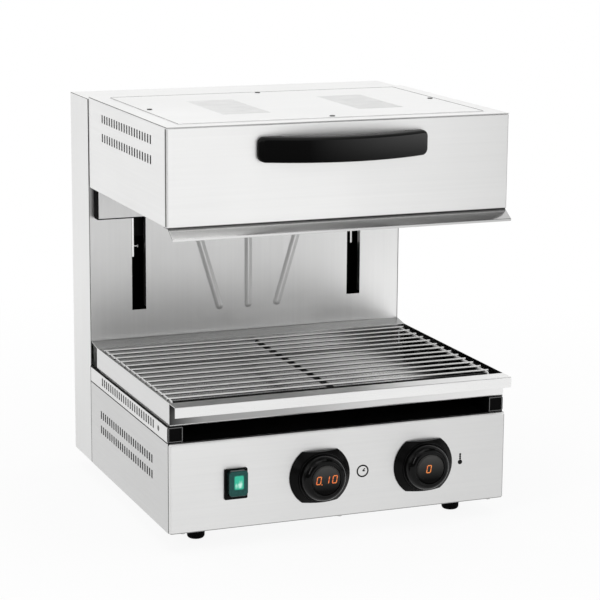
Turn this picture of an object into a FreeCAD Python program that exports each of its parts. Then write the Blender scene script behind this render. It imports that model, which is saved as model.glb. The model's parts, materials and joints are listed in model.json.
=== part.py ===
import FreeCAD, Part
import math
import os

# Cheese melter: a lift-type salamander grill. A base with the controls carries a column at its
# back, and a heated hood slides up and down the column over a wire grid in a crumb tray.
# Millimetres, +Z up. While the pieces are drawn, y is 0 at the outer face of the base's front
# panel and grows to the back, z is 0 at the soles of the feet, and x is 0 on the middle plane.
# Saving a piece moves the origin to the middle of the whole machine's footprint.

V = FreeCAD.Vector

# Sheet metal and clearances
sheet = 1.0
seam = 0.4
fit_gap = 0.3
overrun = 2.0
fold_radius = 1.6

# Base
body_width = 475.0
body_depth = 444.0
foot_height = 24.5
base_height = 119.8
base_bend = 3.0
base_return = 5.0
base_joint = 2.0
base_flange = 17.0
deck_flange = 7.9
side_flange = 11.0
pan_wall = 18.0

# Feet
foot_radius = 12.5
foot_sole_radius = 11.5
foot_rounding = 4.0
foot_side_inset = 53.2
foot_inset = 53.8
foot_recess_radius = 5.5
foot_recess = 9.0
foot_screw_head_radius = 5.0
foot_screw_head = 3.0
foot_screw_radius = 2.4
foot_screw_play = 0.1
foot_screw_end = 3.0

# Screws under the front panel's lower edge
edge_screw_radius = 3.2
edge_screw_height = 1.6
edge_screw_side_inset = 19.5
edge_screw_inset = 6.5

# Vent slots
vent_width = 5.4
vent_height = 11.4
base_vent_count = 24
base_vent_first = 74.7
base_vent_last_gap = 50.96
base_vent_low = 55.5
base_vent_rise = 21.0
hood_vent_count = 20
hood_vent_first = 75.0
hood_vent_last_gap = 64.5
hood_vent_low = 72.4
hood_vent_rise = 25.8
strip_vent_shift = 7.5
strip_vent_drop = 4.2

# Slotted strips and the runners of the crumb tray behind them
strip_height = 21.0
strip_front = 9.3
strip_screw_inset = 36.7
strip_screw_radius = 3.4
strip_screw_shank = 1.9
strip_screw_length = 6.0
runner_width = 19.2
runner_wall = 1.2
plug_width = 20.2
plug_corner = 3.5
plug_proud = 1.6
plug_rim = 2.3
plug_recess = 0.8
plug_depth = 12.0
glide_width = 9.0
glide_height = 2.5

# Crumb tray
tray_side_gap = 1.5
tray_front = 4.5
tray_rear_gap = 27.5
tray_height = 31.9
tray_corner = 5.0
lip_reach = 23.3
lip_drop = 14.2
ledge_reach = 25.0
ledge_rise = 4.0

# Wire grid
grid_rod_radius = 2.0
grid_rod_count = 13
grid_rod_first = 37.2
grid_rod_last_gap = 10.8
grid_rod_overhang = 4.0
grid_wire_inset = 11.0
grid_wire_radius = 2.0
grid_middle_radius = 3.0
grid_front_reach = 9.0
grid_rear_reach = 3.7
grid_bend = 3.6
grid_below_rim = 0.4

# Column
column_side_inset = 0.5
column_depth = 86.5
column_height = 521.0
slot_side_inset = 72.35
slot_width = 20.7
slot_bottom = 217.9
slot_top_gap = 11.0
slot_flange = 10.0
slot_flange_lift = 3.2
bead_width = 12.0
bead_height = 1.6
bead_foot_z = 215.0
bead_top_gap = 43.0
bead_foot_share = 0.269
bead_lean = 0.3
back_flange = 16.0
back_screw_radius = 4.0
back_screw_height = 1.6
back_screw_shank = 1.8
back_screw_side_inset = 9.0
back_screw_rows = 4
back_screw_end_inset = 26.0
back_vent_length = 60.0
back_vent_width = 3.6
back_vent_pitch = 9.0
back_vent_count = 12
back_vent_x = 95.0
back_vent_low = 300.0

# Guide channels in the column, one behind each slot
channel_offset = 3.35
channel_half_inside = 19.5
channel_wall = 1.5
channel_front_gap = 0.5
channel_depth = 43.0

# Gas struts that balance the hood
strut_setback = 37.5
strut_radius = 7.5
strut_bottom = 37.5
strut_length = 223.0
strut_floor = 8.0
strut_rod_radius = 3.0
strut_rod_play = 0.08
strut_rod_inside = 20.0
strut_end_radius = 6.0
strut_end_height = 12.0
strut_foot_width = 20.0

# Mains inlet gland, its nut and the bonding stud on the back cover
gland_x = -60.0
gland_height = 45.5
gland_bore_radius = 5.0
gland_thread_radius = 10.0
gland_thread_length = 12.0
gland_hex_radius = 13.5
gland_hex_length = 6.0
gland_dome_length = 12.0
gland_nut_radius = 14.0
gland_nut_length = 5.5
stud_x = 110.0
stud_radius = 3.0
stud_length = 30.0
stud_proud = 14.0
stud_nut_radius = 5.8
stud_nut_length = 4.6

# Controls on the front panel
control_height = 58.9
switch_x = -148.3
switch_rise = 1.3
timer_x = -31.5
thermostat_x = 117.0
bezel_width = 31.6
bezel_height = 41.0
bezel_proud = 2.5
bezel_corner = 2.0
switch_opening_width = 22.6
switch_opening_height = 29.0
switch_body_width = 26.0
switch_body_height = 36.0
switch_body_depth = 27.0
switch_cavity_depth = 11.0
rocker_width = 20.0
rocker_height = 25.8
rocker_thick = 5.5
rocker_front = 1.5
rocker_pivot = 3.5
rocker_tilt_deg = 8.0
rocker_pin_radius = 1.5
rocker_pin_length = 25.0
rocker_pin_play = 0.05
cover_width = 26.0
cover_height = 34.0
cover_shift = 0.8
cover_rise = 2.3
cover_proud = 9.0
cover_wall = 1.2
cover_corner = 5.0
disc_radius = 42.4
disc_flat = 34.4
disc_thick = 8.5
disc_edge = 1.5
disc_top_radius = 34.0
display_radius = 19.75
display_front = 25.8
display_edge = 0.6
ring_foot_radius = 32.8
ring_lip_radius = 31.8
ring_foot_front = 11.0
ring_nose_radius = 23.6
ring_front = 25.2
ring_dome_radius_share = 0.8
ring_dome_depth_share = 0.62
spindle_radius = 5.5
board_gap = 14.0
board_thick = 1.6
board_width = 56.0
board_height = 60.0
post_radius = 2.5
post_inset = 5.0

# Electrical parts on the base pan
terminal_x = -150.0
terminal_setback = 57.5
terminal_width = 80.0
terminal_depth = 25.0
terminal_height = 24.0
terminal_poles = 6
terminal_screw_radius = 2.4
terminal_screw_depth = 6.0
terminal_groove = 1.2
relay_x = 60.0
relay_setback = 87.5
relay_width = 45.0
relay_depth = 70.0
relay_height = 78.0
relay_step = 14.0

# Hood
hood_side_gap = 1.4
hood_front = 9.1
hood_rear_gap = 3.3
hood_above_column = 2.7
hood_height = 127.0
hood_flange = 13.0
hood_bend = 2.0
hood_return = 2.4
hood_joint = 4.0
hood_access_inset_x = 46.0
hood_access_inset_y = 50.0
cover_plate_inset_x = 24.0
cover_plate_inset_front = 26.3
cover_plate_inset_rear = 23.2
cover_screw_inset = 9.5
cover_screw_radius = 3.6
cover_screw_height = 1.0
cover_screw_shank = 1.8
cover_screw_length = 8.0
slit_field_x = 62.0
slit_length = 66.0
slit_width = 2.6
slit_count = 26
slit_first = 70.0
slit_last_gap = 78.1
lip_inset = 1.4
lip_bend = 1.2
hood_lip_leg = 17.0
hood_lip_start = 1.4
hood_lip_reach = 18.5
hood_lip_fall = 10.8
hood_lip_hem = 2.0

# Carriage behind the hood
carriage_setback = 16.2
carriage_sheet = 1.2
carriage_side_gap = 7.6
carriage_drop = 41.7
seal_thick = 1.5
seal_rear_gap = 2.5
arm_thick = 3.0
arm_tab = 20.0
arm_setback = 17.5
arm_nose_depth = 10.0
arm_depth = 30.0
arm_reach_down = 105.6
arm_tongue_drop = 4.2
arm_top_gap = 17.2
pin_above_foot = 15.0
pin_setback = 4.0
pin_shank_radius = 1.5
pin_shank_length = 5.3
pin_head_radius = 4.4
pin_head_length = 1.0
low_shoe_above_foot = 29.4
low_shoe_height = 30.0
low_shoe_setback = 2.0
low_shoe_depth = 9.0
high_shoe_lead = 2.0
high_shoe_height = 43.0
high_shoe_play = 0.3

# Handle
handle_half_length = 116.6
handle_height = 32.5
handle_above_bottom = 78.3
handle_bow = 38.4
handle_thick = 15.0
handle_end_depth = 9.0
handle_foot_length = 30.0
handle_corner = 8.0
handle_end_rounding = 8.0
handle_rounding = 3.0
handle_screw_x = 104.0
handle_screw_radius = 2.4
handle_screw_play = 0.2
handle_screw_length = 7.0
handle_screw_head_radius = 4.5
handle_screw_head = 2.8

# Heating under the hood
reflector_inset_x = 15.0
reflector_front = 29.0
reflector_rear_gap = 5.0
reflector_depth = 43.8
element_radius = 4.0
element_hole_play = 0.4
element_rows = 3
element_end_gap = 52.0
element_half_gap = 18.0
element_drop = 27.0
element_turn_gap = 34.1
element_tail = 9.0
hanger_share = 0.5
hanger_thick = 1.5
hanger_end_gap = 20.0
hanger_below = 7.0
shield_gap = 25.0
shield_post_radius = 4.0
shield_post_inset = 20.0

# Worked-out places
half_width = body_width / 2
half_column = half_width - column_side_inset
half_hood = half_width - hood_side_gap
half_tray = half_width - tray_side_gap
inner_half = half_column - sheet - seam
column_front = body_depth - column_depth
tray_rear = column_front - tray_rear_gap
hood_rear = column_front - hood_rear_gap
carriage_front = hood_rear - carriage_setback
base_bottom = foot_height
base_top = base_bottom + base_height
pan_top = base_bottom + 2 * sheet
strip_bottom = base_top + seam
strip_top = strip_bottom + strip_height
deck_top = base_top - sheet
base_side_front = base_return + base_joint
base_vent_pitch = (column_front - base_vent_last_gap - base_vent_first) / (base_vent_count - 1)
strip_vent_first = base_vent_first - strip_vent_shift
runner_top = strip_top - glide_height
tray_bottom = strip_top + fit_gap
tray_top = tray_bottom + tray_height
column_top = base_bottom + column_height
cap_bottom = column_top - sheet
panel_rear = column_front + sheet
cover_front = body_depth - sheet
control_z = base_bottom + control_height
switch_z = control_z + switch_rise
gland_z = base_bottom + gland_height
hood_top = column_top + hood_above_column
hood_bottom = hood_top - hood_height
hood_lid = hood_top - sheet
hood_side_front = hood_front + hood_return + hood_joint
hood_vent_pitch = (hood_rear - hood_vent_last_gap - hood_vent_first) / (hood_vent_count - 1)
cover_plate_front = hood_front + cover_plate_inset_front
cover_plate_rear = hood_rear - cover_plate_inset_rear
slit_pitch = (cover_plate_rear - slit_last_gap - cover_plate_front - slit_first) / (slit_count - 1)
reflector_rear = carriage_front - reflector_rear_gap
element_front = reflector_front + element_end_gap
element_pitch = (reflector_rear - element_end_gap - element_front) / (element_rows - 1)
element_turn_x = half_hood - reflector_inset_x - element_turn_gap
hanger_x = half_hood * hanger_share
carriage_half_width = half_hood - carriage_side_gap
carriage_rear = carriage_front + carriage_sheet
slot_middle_x = half_column - slot_side_inset
channel_middle_x = slot_middle_x + channel_offset
arm_front = column_front + arm_setback
arm_rear = arm_front + arm_depth
arm_foot_z = hood_bottom - arm_reach_down
arm_tongue_z = hood_bottom - arm_tongue_drop
arm_top_z = hood_lid - arm_top_gap
arm_upper_z = arm_top_z - high_shoe_height
pin_y = arm_front + pin_setback
pin_z = arm_foot_z + pin_above_foot
low_shoe_z = arm_foot_z + low_shoe_above_foot
strut_rod_low = base_bottom + strut_bottom + strut_length - strut_rod_inside
strut_end_low = arm_upper_z - strut_end_height
high_shoe_front = arm_front - high_shoe_lead
strut_y = column_front + strut_setback
slot_low = base_bottom + slot_bottom
slot_high = column_top - slot_top_gap
bead_foot_x = slot_middle_x * bead_foot_share
bead_length = column_height - bead_top_gap - bead_foot_z
channel_front = panel_rear + slot_flange + channel_front_gap
channel_rear = channel_front + channel_depth
handle_low = hood_bottom + handle_above_bottom
handle_middle_z = handle_low + handle_height / 2
grid_rod_z = tray_top - grid_below_rim - grid_rod_radius
grid_wire_z = grid_rod_z - grid_rod_radius - grid_wire_radius
grid_middle_z = grid_rod_z - grid_rod_radius - grid_middle_radius
grid_wire_x = half_tray - grid_wire_inset
grid_half_width = grid_wire_x + grid_rod_overhang
grid_rod_last = tray_rear - grid_rod_last_gap
grid_rod_pitch = (grid_rod_last - grid_rod_first) / (grid_rod_count - 1)
element_z = hood_bottom + sheet + reflector_depth - element_drop
reflector_top = hood_bottom + sheet + reflector_depth
front_most = hood_front - handle_bow
rear_most = body_depth + gland_hex_length + gland_dome_length
middle_y = (front_most + rear_most) / 2


def block(x, y, z):
    """Box between pairs of low and high planes."""
    return Part.makeBox(x[1] - x[0], y[1] - y[0], z[1] - z[0], V(x[0], y[0], z[0]))


def round_bar(start, end, radius):
    """Round bar from one point to another."""
    along = end - start
    return Part.makeCylinder(radius, along.Length, start, along)


def face_of(points):
    """Flat face with straight sides."""
    return Part.Face(Part.makePolygon(points + [points[0]]))


def mirrored(shape):
    """The other hand of a piece, across the middle plane."""
    return shape.mirror(V(0, 0, 0), V(1, 0, 0))


def joined(shapes):
    """One solid from pieces that touch or overlap."""
    return shapes[0].multiFuse(shapes[1:]).removeSplitter()


def rounded_block(x, y, z, corner):
    """Box with its four edges along y rounded."""
    body = block(x, y, z)
    edges = [e for e in body.Edges if abs(e.tangentAt(e.FirstParameter).y) > 0.5]
    return body.makeFillet(corner, edges)


def folded_front(x, y, z, corner):
    """Front sheet with returns on its four sides, rounded where it is folded."""
    outer = block(x, y, z)
    outer = outer.makeFillet(corner, [e for e in outer.Edges if e.BoundBox.YMin < y[1] - seam])
    end = y[1] + overrun
    inner = block((x[0] + sheet, x[1] - sheet), (y[0] + sheet, end), (z[0] + sheet, z[1] - sheet))
    inner = inner.makeFillet(corner - sheet,
                             [e for e in inner.Edges if e.BoundBox.YMin < end - seam])
    return outer.cut(inner)


def fold(shape, y, z, radius):
    """Round the fold that runs along x through a point."""
    line = [e for e in shape.Edges if e.BoundBox.YLength < seam and e.BoundBox.ZLength < seam
            and abs(e.CenterOfMass.y - y) < seam and abs(e.CenterOfMass.z - z) < seam]
    return shape.makeFillet(radius, line)


def around(middle, half):
    """Low and high plane about a middle."""
    return (middle - half, middle + half)


def revolved(outline, x, z):
    """Turn an outline of (radius, y) edges about an axis along y."""
    face = Part.Face(Part.Wire(outline))
    face.translate(V(x, 0, z))
    return face.revolve(V(x, 0, z), V(0, 1, 0), 360)


def hex_nut(x, z, y, radius, length):
    """Hexagonal prism along y."""
    corners = [math.radians(60 * i) for i in range(6)]
    ring = [V(x + radius * math.cos(a), y, z + radius * math.sin(a)) for a in corners]
    return face_of(ring).extrude(V(0, length, 0))


def save(node, shapes):
    """Write one node, moved to the machine's own origin."""
    moved = [s.translated(V(0, -middle_y, 0)) for s in shapes]
    shape = moved[0] if len(moved) == 1 else Part.makeCompound(moved)
    shape.exportStep("parts/" + node + ".step")


def vent_row(x, first, pitch, count, low):
    """Cutters of one row of upright slots in a side sheet."""
    places = [first + pitch * i for i in range(count)]
    return [block(x, around(y, vent_width / 2), (low, low + vent_height)) for y in places]


def base_front():
    """Front panel with its flanges, the switch cut-out and the spindle holes."""
    depth = sheet + base_flange
    panel = folded_front(around(0, half_width), (0, depth), (base_bottom, base_top), base_bend)
    end = depth + overrun
    corner_x = half_width - base_bend - seam
    beyond = half_width + overrun
    cutters = [block(side, (base_return, end), (base_bottom - overrun, base_top + overrun))
               for side in ((corner_x, beyond), (-beyond, -corner_x))]
    cutters.append(block(around(0, beyond), (sheet + deck_flange, end),
                         (control_z, base_top + overrun)))
    cutters.append(block(around(switch_x, switch_body_width / 2 + fit_gap),
                         (-overrun, sheet + overrun),
                         around(switch_z, switch_body_height / 2 + fit_gap)))
    for x in (timer_x, thermostat_x):
        cutters.append(round_bar(V(x, -overrun, control_z), V(x, sheet + overrun, control_z),
                                 spindle_radius + fit_gap))
    for x in edge_screw_places():
        cutters.append(round_bar(V(x, edge_screw_inset, base_bottom - overrun),
                                 V(x, edge_screw_inset, pan_top), edge_screw_radius / 2))
    return panel.cut(cutters)


def edge_screw_places():
    """Positions from left to right of the screws under the front panel."""
    reach = half_width - edge_screw_side_inset
    return (-reach, 0, reach)


def edge_screws():
    """Flat heads under the lower edge of the front panel."""
    heads = []
    for x in edge_screw_places():
        foot = V(x, edge_screw_inset, base_bottom - edge_screw_height)
        head = round_bar(foot, V(x, edge_screw_inset, base_bottom), edge_screw_radius)
        shank = round_bar(foot, V(x, edge_screw_inset, base_bottom + sheet),
                          edge_screw_radius / 2 - seam / 4)
        heads.append(joined([head, shank]))
    return heads


def base_side():
    """Right-hand side sheet with two rows of slots."""
    y = (base_side_front, column_front - seam)
    wall = (half_width - sheet, half_width)
    side = joined([
        block(wall, y, (base_bottom, base_top)),
        block((half_width - sheet - side_flange, half_width), (sheet + base_flange + seam, y[1]),
              (base_bottom, base_bottom + sheet))])
    through = (half_width - sheet - overrun, half_width + overrun)
    cutters = []
    for low in (base_vent_low, base_vent_low + base_vent_rise):
        cutters += vent_row(through, base_vent_first, base_vent_pitch, base_vent_count,
                            base_bottom + low)
    return side.cut(cutters)


def base_pan():
    """Bottom sheet with its upturned sides."""
    y = (base_return + seam, cover_front - sheet - seam)
    z = (base_bottom + sheet, pan_top)
    pan = [block(around(0, inner_half), y, z)]
    for x in ((-inner_half, sheet - inner_half), (inner_half - sheet, inner_half)):
        pan.append(block(x, (base_flange, y[1] - base_flange), (z[0], pan_top + pan_wall)))
    return joined(pan).cut([foot_screw_bar(x, y, base_bottom, pan_top + overrun,
                                           foot_screw_radius + foot_screw_play)
                            for x, y in foot_places()])


def deck_plate():
    """Black sheet that closes the base under the crumb tray."""
    return block(around(0, inner_half), (base_return + seam, column_front - seam),
                 (deck_top - sheet, deck_top))


def vent_strip():
    """Right-hand slotted strip above the base side."""
    x = (half_width - sheet, half_width)
    strip = block(x, (strip_front, column_front - seam), (strip_bottom, strip_top))
    through = (x[0] - overrun, x[1] + overrun)
    cutters = vent_row(through, strip_vent_first, base_vent_pitch, base_vent_count,
                       strip_top - strip_vent_drop - vent_height)
    cutters.append(strip_screw_bar(x[0] - overrun, x[1] + overrun, strip_screw_radius + seam))
    return strip.cut(cutters)


def strip_screw_bar(start, end, radius):
    """Bar along the axis of the strip's screw."""
    y = strip_front + strip_screw_inset
    z = strip_bottom + strip_height / 2
    return round_bar(V(start, y, z), V(end, y, z), radius)


def strip_screw():
    """Screw that sits flush in the slotted strip."""
    runner_face = half_width - sheet
    head = strip_screw_bar(runner_face, half_width, strip_screw_radius)
    shank = strip_screw_bar(runner_face - strip_screw_length, half_width, strip_screw_shank)
    return joined([head, shank])


def runner():
    """Right-hand hollow runner that carries the crumb tray."""
    x = (half_width - sheet - runner_width, half_width - sheet)
    y = (strip_front, column_front - seam)
    z = (deck_top, runner_top)
    tube = block(x, y, z).cut(block((x[0] + runner_wall, x[1] - runner_wall),
                                    (y[0] - overrun, y[1] + overrun),
                                    (z[0] + runner_wall, z[1] - runner_wall)))
    return tube.cut(strip_screw_bar(half_width - sheet - strip_screw_length, half_width,
                                    strip_screw_shank + seam / 4))


def runner_plug():
    """Black plug in the front end of the right-hand runner."""
    x = (half_width - plug_width, half_width)
    z = (base_top, strip_top)
    head = rounded_block(x, (strip_front - plug_proud, strip_front), z, plug_corner)
    wall = runner_wall + fit_gap
    stem = block((half_width - sheet - runner_width + wall, half_width - sheet - wall),
                 (strip_front, strip_front + plug_depth), (deck_top + wall, runner_top - wall))
    recess = rounded_block((x[0] + plug_rim, x[1] - plug_rim),
                           (strip_front - plug_proud - overrun,
                            strip_front - plug_proud + plug_recess),
                           (z[0] + plug_rim, z[1] - plug_rim), plug_corner - plug_rim)
    return joined([head, stem]).cut(recess)


def glide():
    """Right-hand low-friction strip on top of the runner."""
    middle = half_width - sheet - runner_width / 2
    return block(around(middle, glide_width / 2), (strip_front + plug_depth, tray_rear),
                 (runner_top, strip_top))


def foot(x, y):
    """Tapered rubber foot with a recess for its screw."""
    body = Part.makeCone(foot_sole_radius, foot_radius, base_bottom + sheet, V(x, y, 0))
    body = body.makeFillet(foot_rounding, [e for e in body.Edges if e.BoundBox.ZMax < seam])
    return body.cut([foot_screw_bar(x, y, -overrun, foot_recess, foot_recess_radius),
                     foot_screw_bar(x, y, 0, base_bottom + 2 * sheet,
                                    foot_screw_radius + foot_screw_play)])


def foot_screw_bar(x, y, low, high, radius):
    """Bar along the axis of a foot's screw."""
    return round_bar(V(x, y, low), V(x, y, high), radius)


def foot_places():
    """Middle points of the four feet."""
    x = half_width - foot_side_inset
    return [(side, y) for side in (-x, x) for y in (foot_inset, body_depth - foot_inset)]


def foot_screw(x, y):
    """Screw up through a foot into the base pan."""
    return joined([foot_screw_bar(x, y, foot_recess - foot_screw_head, foot_recess,
                                  foot_screw_head_radius),
                   foot_screw_bar(x, y, foot_recess, pan_top + foot_screw_end,
                                  foot_screw_radius)])


def column_side():
    """Right-hand side sheet of the column with its flanges."""
    x = (half_column - sheet, half_column)
    side = joined([
        block(x, (column_front, body_depth), (base_bottom, cap_bottom)),
        block((x[0] - side_flange, x[1]), (panel_rear, cover_front),
              (base_bottom, base_bottom + sheet)),
        block((x[1] - back_flange, x[1]), (cover_front - sheet, cover_front),
              (pan_top + seam, cap_bottom))])
    return side.cut([back_screw_bar(x, z, cover_front - sheet - overrun, body_depth,
                                    back_screw_shank + seam / 4)
                     for x, z in back_screw_places() if x > 0])


def bead(foot_x, lean):
    """Raised stiffening bead up the front of the column."""
    radius = (bead_width ** 2 / 4 + bead_height ** 2) / (2 * bead_height)
    y = column_front - bead_height + radius
    start = V(foot_x, y, base_bottom + bead_foot_z)
    end = start + V(lean * bead_length, 0, bead_length)
    ridge = joined([round_bar(start, end, radius), Part.makeSphere(radius, start),
                    Part.makeSphere(radius, end)])
    reach = bead_foot_x + bead_lean * bead_length + radius
    skin = block(around(0, reach), (column_front - bead_width, column_front + sheet / 2),
                 (base_bottom, column_top))
    return ridge.common(skin)


def column_panel():
    """Front sheet of the column with two slots, their folded edges and three beads."""
    y = (column_front, panel_rear)
    z = (base_top + seam, cap_bottom)
    panel = block(around(0, half_column - sheet - seam / 2), y, z)
    slot_z = (slot_low, slot_high)
    pieces = []
    for side in (-1, 1):
        slot_x = around(side * slot_middle_x, slot_width / 2)
        panel = panel.cut(block(slot_x, (y[0] - overrun, y[1] + overrun), slot_z))
        for edge in ((slot_x[0] - sheet, slot_x[0]), (slot_x[1], slot_x[1] + sheet)):
            pieces.append(block(edge, (y[0], y[1] + slot_flange),
                                (slot_z[0] + slot_flange_lift, slot_z[1])))
    pieces += [bead(0, 0), bead(bead_foot_x, bead_lean), bead(-bead_foot_x, -bead_lean)]
    return joined([panel] + pieces)


def column_cap():
    """Top sheet of the column."""
    return block(around(0, half_column), (column_front, body_depth), (cap_bottom, column_top))


def back_screw_places():
    """Middle points of the screws down both edges of the back cover."""
    reach = half_column - back_screw_side_inset
    low = base_bottom + back_screw_end_inset
    step = (column_height - 2 * back_screw_end_inset) / (back_screw_rows - 1)
    return [(x, low + step * i) for x in (-reach, reach) for i in range(back_screw_rows)]


def back_screw_bar(x, z, start, end, radius):
    """Bar along the axis of a screw of the back cover."""
    return round_bar(V(x, start, z), V(x, end, z), radius)


def back_screws():
    """Pan-head screws round the back cover."""
    screws = []
    for x, z in back_screw_places():
        head = back_screw_bar(x, z, body_depth, body_depth + back_screw_height, back_screw_radius)
        shank = back_screw_bar(x, z, cover_front - 2 * sheet, body_depth, back_screw_shank)
        screws.append(joined([head, shank]))
    return screws


def back_cover():
    """Back sheet with two fields of vents and the holes for gland, stud and screws."""
    through = (cover_front - overrun, body_depth + overrun)
    cover = block(around(0, half_column - sheet - seam / 2), (cover_front, body_depth),
                  (pan_top + seam, cap_bottom - seam))
    cutters = []
    for x in (-back_vent_x, back_vent_x):
        for i in range(back_vent_count):
            low = base_bottom + back_vent_low + back_vent_pitch * i
            cutters.append(block(around(x, back_vent_length / 2), through,
                                 (low, low + back_vent_width)))
    for x, z in back_screw_places():
        cutters.append(back_screw_bar(x, z, through[0], through[1], back_screw_shank + seam / 4))
    cutters.append(back_screw_bar(gland_x, gland_z, through[0], through[1],
                                  gland_thread_radius + seam / 4))
    cutters.append(back_screw_bar(stud_x, gland_z, through[0], through[1],
                                  stud_radius + seam / 4))
    return cover.cut(cutters)


def gland():
    """Strain relief where the mains lead enters; its bore is empty."""
    hex_end = body_depth + gland_hex_length
    thread = round_bar(V(gland_x, body_depth - gland_thread_length, gland_z),
                       V(gland_x, body_depth, gland_z), gland_thread_radius)
    dome = Part.makeCone(gland_thread_radius, gland_bore_radius + seam, gland_dome_length,
                         V(gland_x, hex_end, gland_z), V(0, 1, 0))
    body = joined([thread, dome, hex_nut(gland_x, gland_z, body_depth, gland_hex_radius,
                                         gland_hex_length)])
    return body.cut(round_bar(V(gland_x, body_depth - gland_thread_length - overrun, gland_z),
                              V(gland_x, rear_most + overrun, gland_z), gland_bore_radius))


def gland_nut():
    """Lock nut of the gland, inside the back cover."""
    nut = hex_nut(gland_x, gland_z, cover_front - gland_nut_length, gland_nut_radius,
                  gland_nut_length)
    return nut.cut(round_bar(V(gland_x, cover_front - gland_nut_length - overrun, gland_z),
                             V(gland_x, body_depth, gland_z), gland_thread_radius + seam / 4))


def bonding_stud():
    """Threaded stud and its nuts for the bonding lead."""
    stud = round_bar(V(stud_x, body_depth + stud_proud - stud_length, gland_z),
                     V(stud_x, body_depth + stud_proud, gland_z), stud_radius)
    outer = hex_nut(stud_x, gland_z, body_depth, stud_nut_radius, stud_nut_length)
    inner = hex_nut(stud_x, gland_z, cover_front - stud_nut_length, stud_nut_radius,
                    stud_nut_length)
    return joined([stud, outer, inner])


def guide_channel():
    """Right-hand black channel in which the carriage arm slides."""
    outer = channel_half_inside + channel_wall
    z = (pan_top, cap_bottom)
    body = block(around(channel_middle_x, outer), (channel_front, channel_rear), z)
    return body.cut(block(around(channel_middle_x, channel_half_inside),
                          (channel_front - overrun, channel_rear - channel_wall),
                          (z[0] - overrun, z[1] + overrun)))


def strut_foot():
    """Block that carries the right-hand strut on the base pan."""
    return block(around(channel_middle_x, strut_foot_width / 2),
                 around(strut_y, strut_foot_width / 2), (pan_top, base_bottom + strut_bottom))


def strut_cylinder():
    """Right-hand strut cylinder with the bore for its rod."""
    low = base_bottom + strut_bottom
    body = Part.makeCylinder(strut_radius, strut_length, V(channel_middle_x, strut_y, low))
    bore = Part.makeCylinder(strut_rod_radius + strut_rod_play, strut_length,
                             V(channel_middle_x, strut_y, low + strut_floor))
    return body.cut(bore)


def strut_rod():
    """Right-hand strut rod and the end piece under the carriage arm."""
    rod = Part.makeCylinder(strut_rod_radius, strut_end_low - strut_rod_low,
                            V(channel_middle_x, strut_y, strut_rod_low))
    end = Part.makeCylinder(strut_end_radius, strut_end_height,
                            V(channel_middle_x, strut_y, strut_end_low))
    return joined([rod, end])


def switch_bezel():
    """Black frame of the mains switch."""
    y = (-bezel_proud, 0)
    frame = rounded_block(around(switch_x, bezel_width / 2), y,
                          around(switch_z, bezel_height / 2), bezel_corner)
    return frame.cut(block(around(switch_x, switch_opening_width / 2),
                           (y[0] - overrun, y[1] + overrun),
                           around(switch_z, switch_opening_height / 2)))


def switch_body():
    """Switch housing behind the panel, open at the front for the rocker."""
    body = block(around(switch_x, switch_body_width / 2), (0, switch_body_depth),
                 around(switch_z, switch_body_height / 2))
    cavity = block(around(switch_x, switch_opening_width / 2), (-overrun, switch_cavity_depth),
                   around(switch_z, switch_opening_height / 2))
    return body.cut([cavity, rocker_pin(rocker_pin_play)])


def rocker_pin(play):
    """Pivot of the rocker, larger by the given play for its holes."""
    half = rocker_pin_length / 2 + play
    return round_bar(V(switch_x - half, rocker_pivot, switch_z),
                     V(switch_x + half, rocker_pivot, switch_z), rocker_pin_radius + play)


def rocker():
    """Lit rocker of the mains switch, tilted to its on position."""
    body = block(around(switch_x, rocker_width / 2), (-rocker_front, rocker_thick - rocker_front),
                 around(switch_z, rocker_height / 2))
    body.rotate(V(switch_x, rocker_pivot, switch_z), V(1, 0, 0), -rocker_tilt_deg)
    return joined([body, rocker_pin(0)])


def switch_cover():
    """Clear splash cover over the rocker."""
    y = (-bezel_proud - cover_proud, -bezel_proud)
    x = around(switch_x + cover_shift, cover_width / 2)
    z = around(switch_z + cover_rise, cover_height / 2)
    dome = rounded_block(x, y, z, cover_corner)
    front = [e for e in dome.Edges if e.BoundBox.YMax < y[0] + seam]
    dome = dome.makeFillet(cover_corner / 2, front)
    hollow = rounded_block((x[0] + cover_wall, x[1] - cover_wall),
                           (y[0] + cover_wall, y[1] + overrun),
                           (z[0] + cover_wall, z[1] - cover_wall), cover_corner - cover_wall)
    return dome.cut(hollow)


def knob_disc(x):
    """Fixed black cone behind a turning ring, flat above and below."""
    rim = [V(0, 0, 0), V(disc_radius, 0, 0), V(disc_radius, -disc_edge, 0),
           V(disc_top_radius, -disc_thick, 0), V(0, -disc_thick, 0)]
    edges = Part.makePolygon(rim + [rim[0]]).Edges
    disc = revolved(edges, x, control_z)
    flats = block(around(x, disc_radius + overrun), (-disc_thick - overrun, overrun),
                  around(control_z, disc_flat))
    hole = round_bar(V(x, -disc_thick - overrun, control_z), V(x, overrun, control_z),
                     spindle_radius + fit_gap)
    return disc.common(flats).cut(hole)


def knob_ring(x):
    """Turning ring with a thin foot flange and a domed shoulder."""
    bore = display_radius + fit_gap
    back = -disc_thick - fit_gap
    dome_radius = ring_nose_radius + ring_dome_radius_share * (ring_lip_radius - ring_nose_radius)
    dome_depth = ring_foot_front + ring_dome_depth_share * (ring_front - ring_foot_front)
    points = [V(bore, back, 0), V(ring_foot_radius, back, 0),
              V(ring_foot_radius, -ring_foot_front, 0), V(ring_lip_radius, -ring_foot_front, 0),
              V(ring_nose_radius, -ring_front, 0), V(bore, -ring_front, 0)]
    edges = [Part.makeLine(points[i], points[i + 1]) for i in (0, 1, 2, 4)]
    edges.insert(3, Part.Arc(points[3], V(dome_radius, -dome_depth, 0), points[4]).toShape())
    edges.append(Part.makeLine(points[5], points[0]))
    return revolved(edges, x, control_z)


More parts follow.
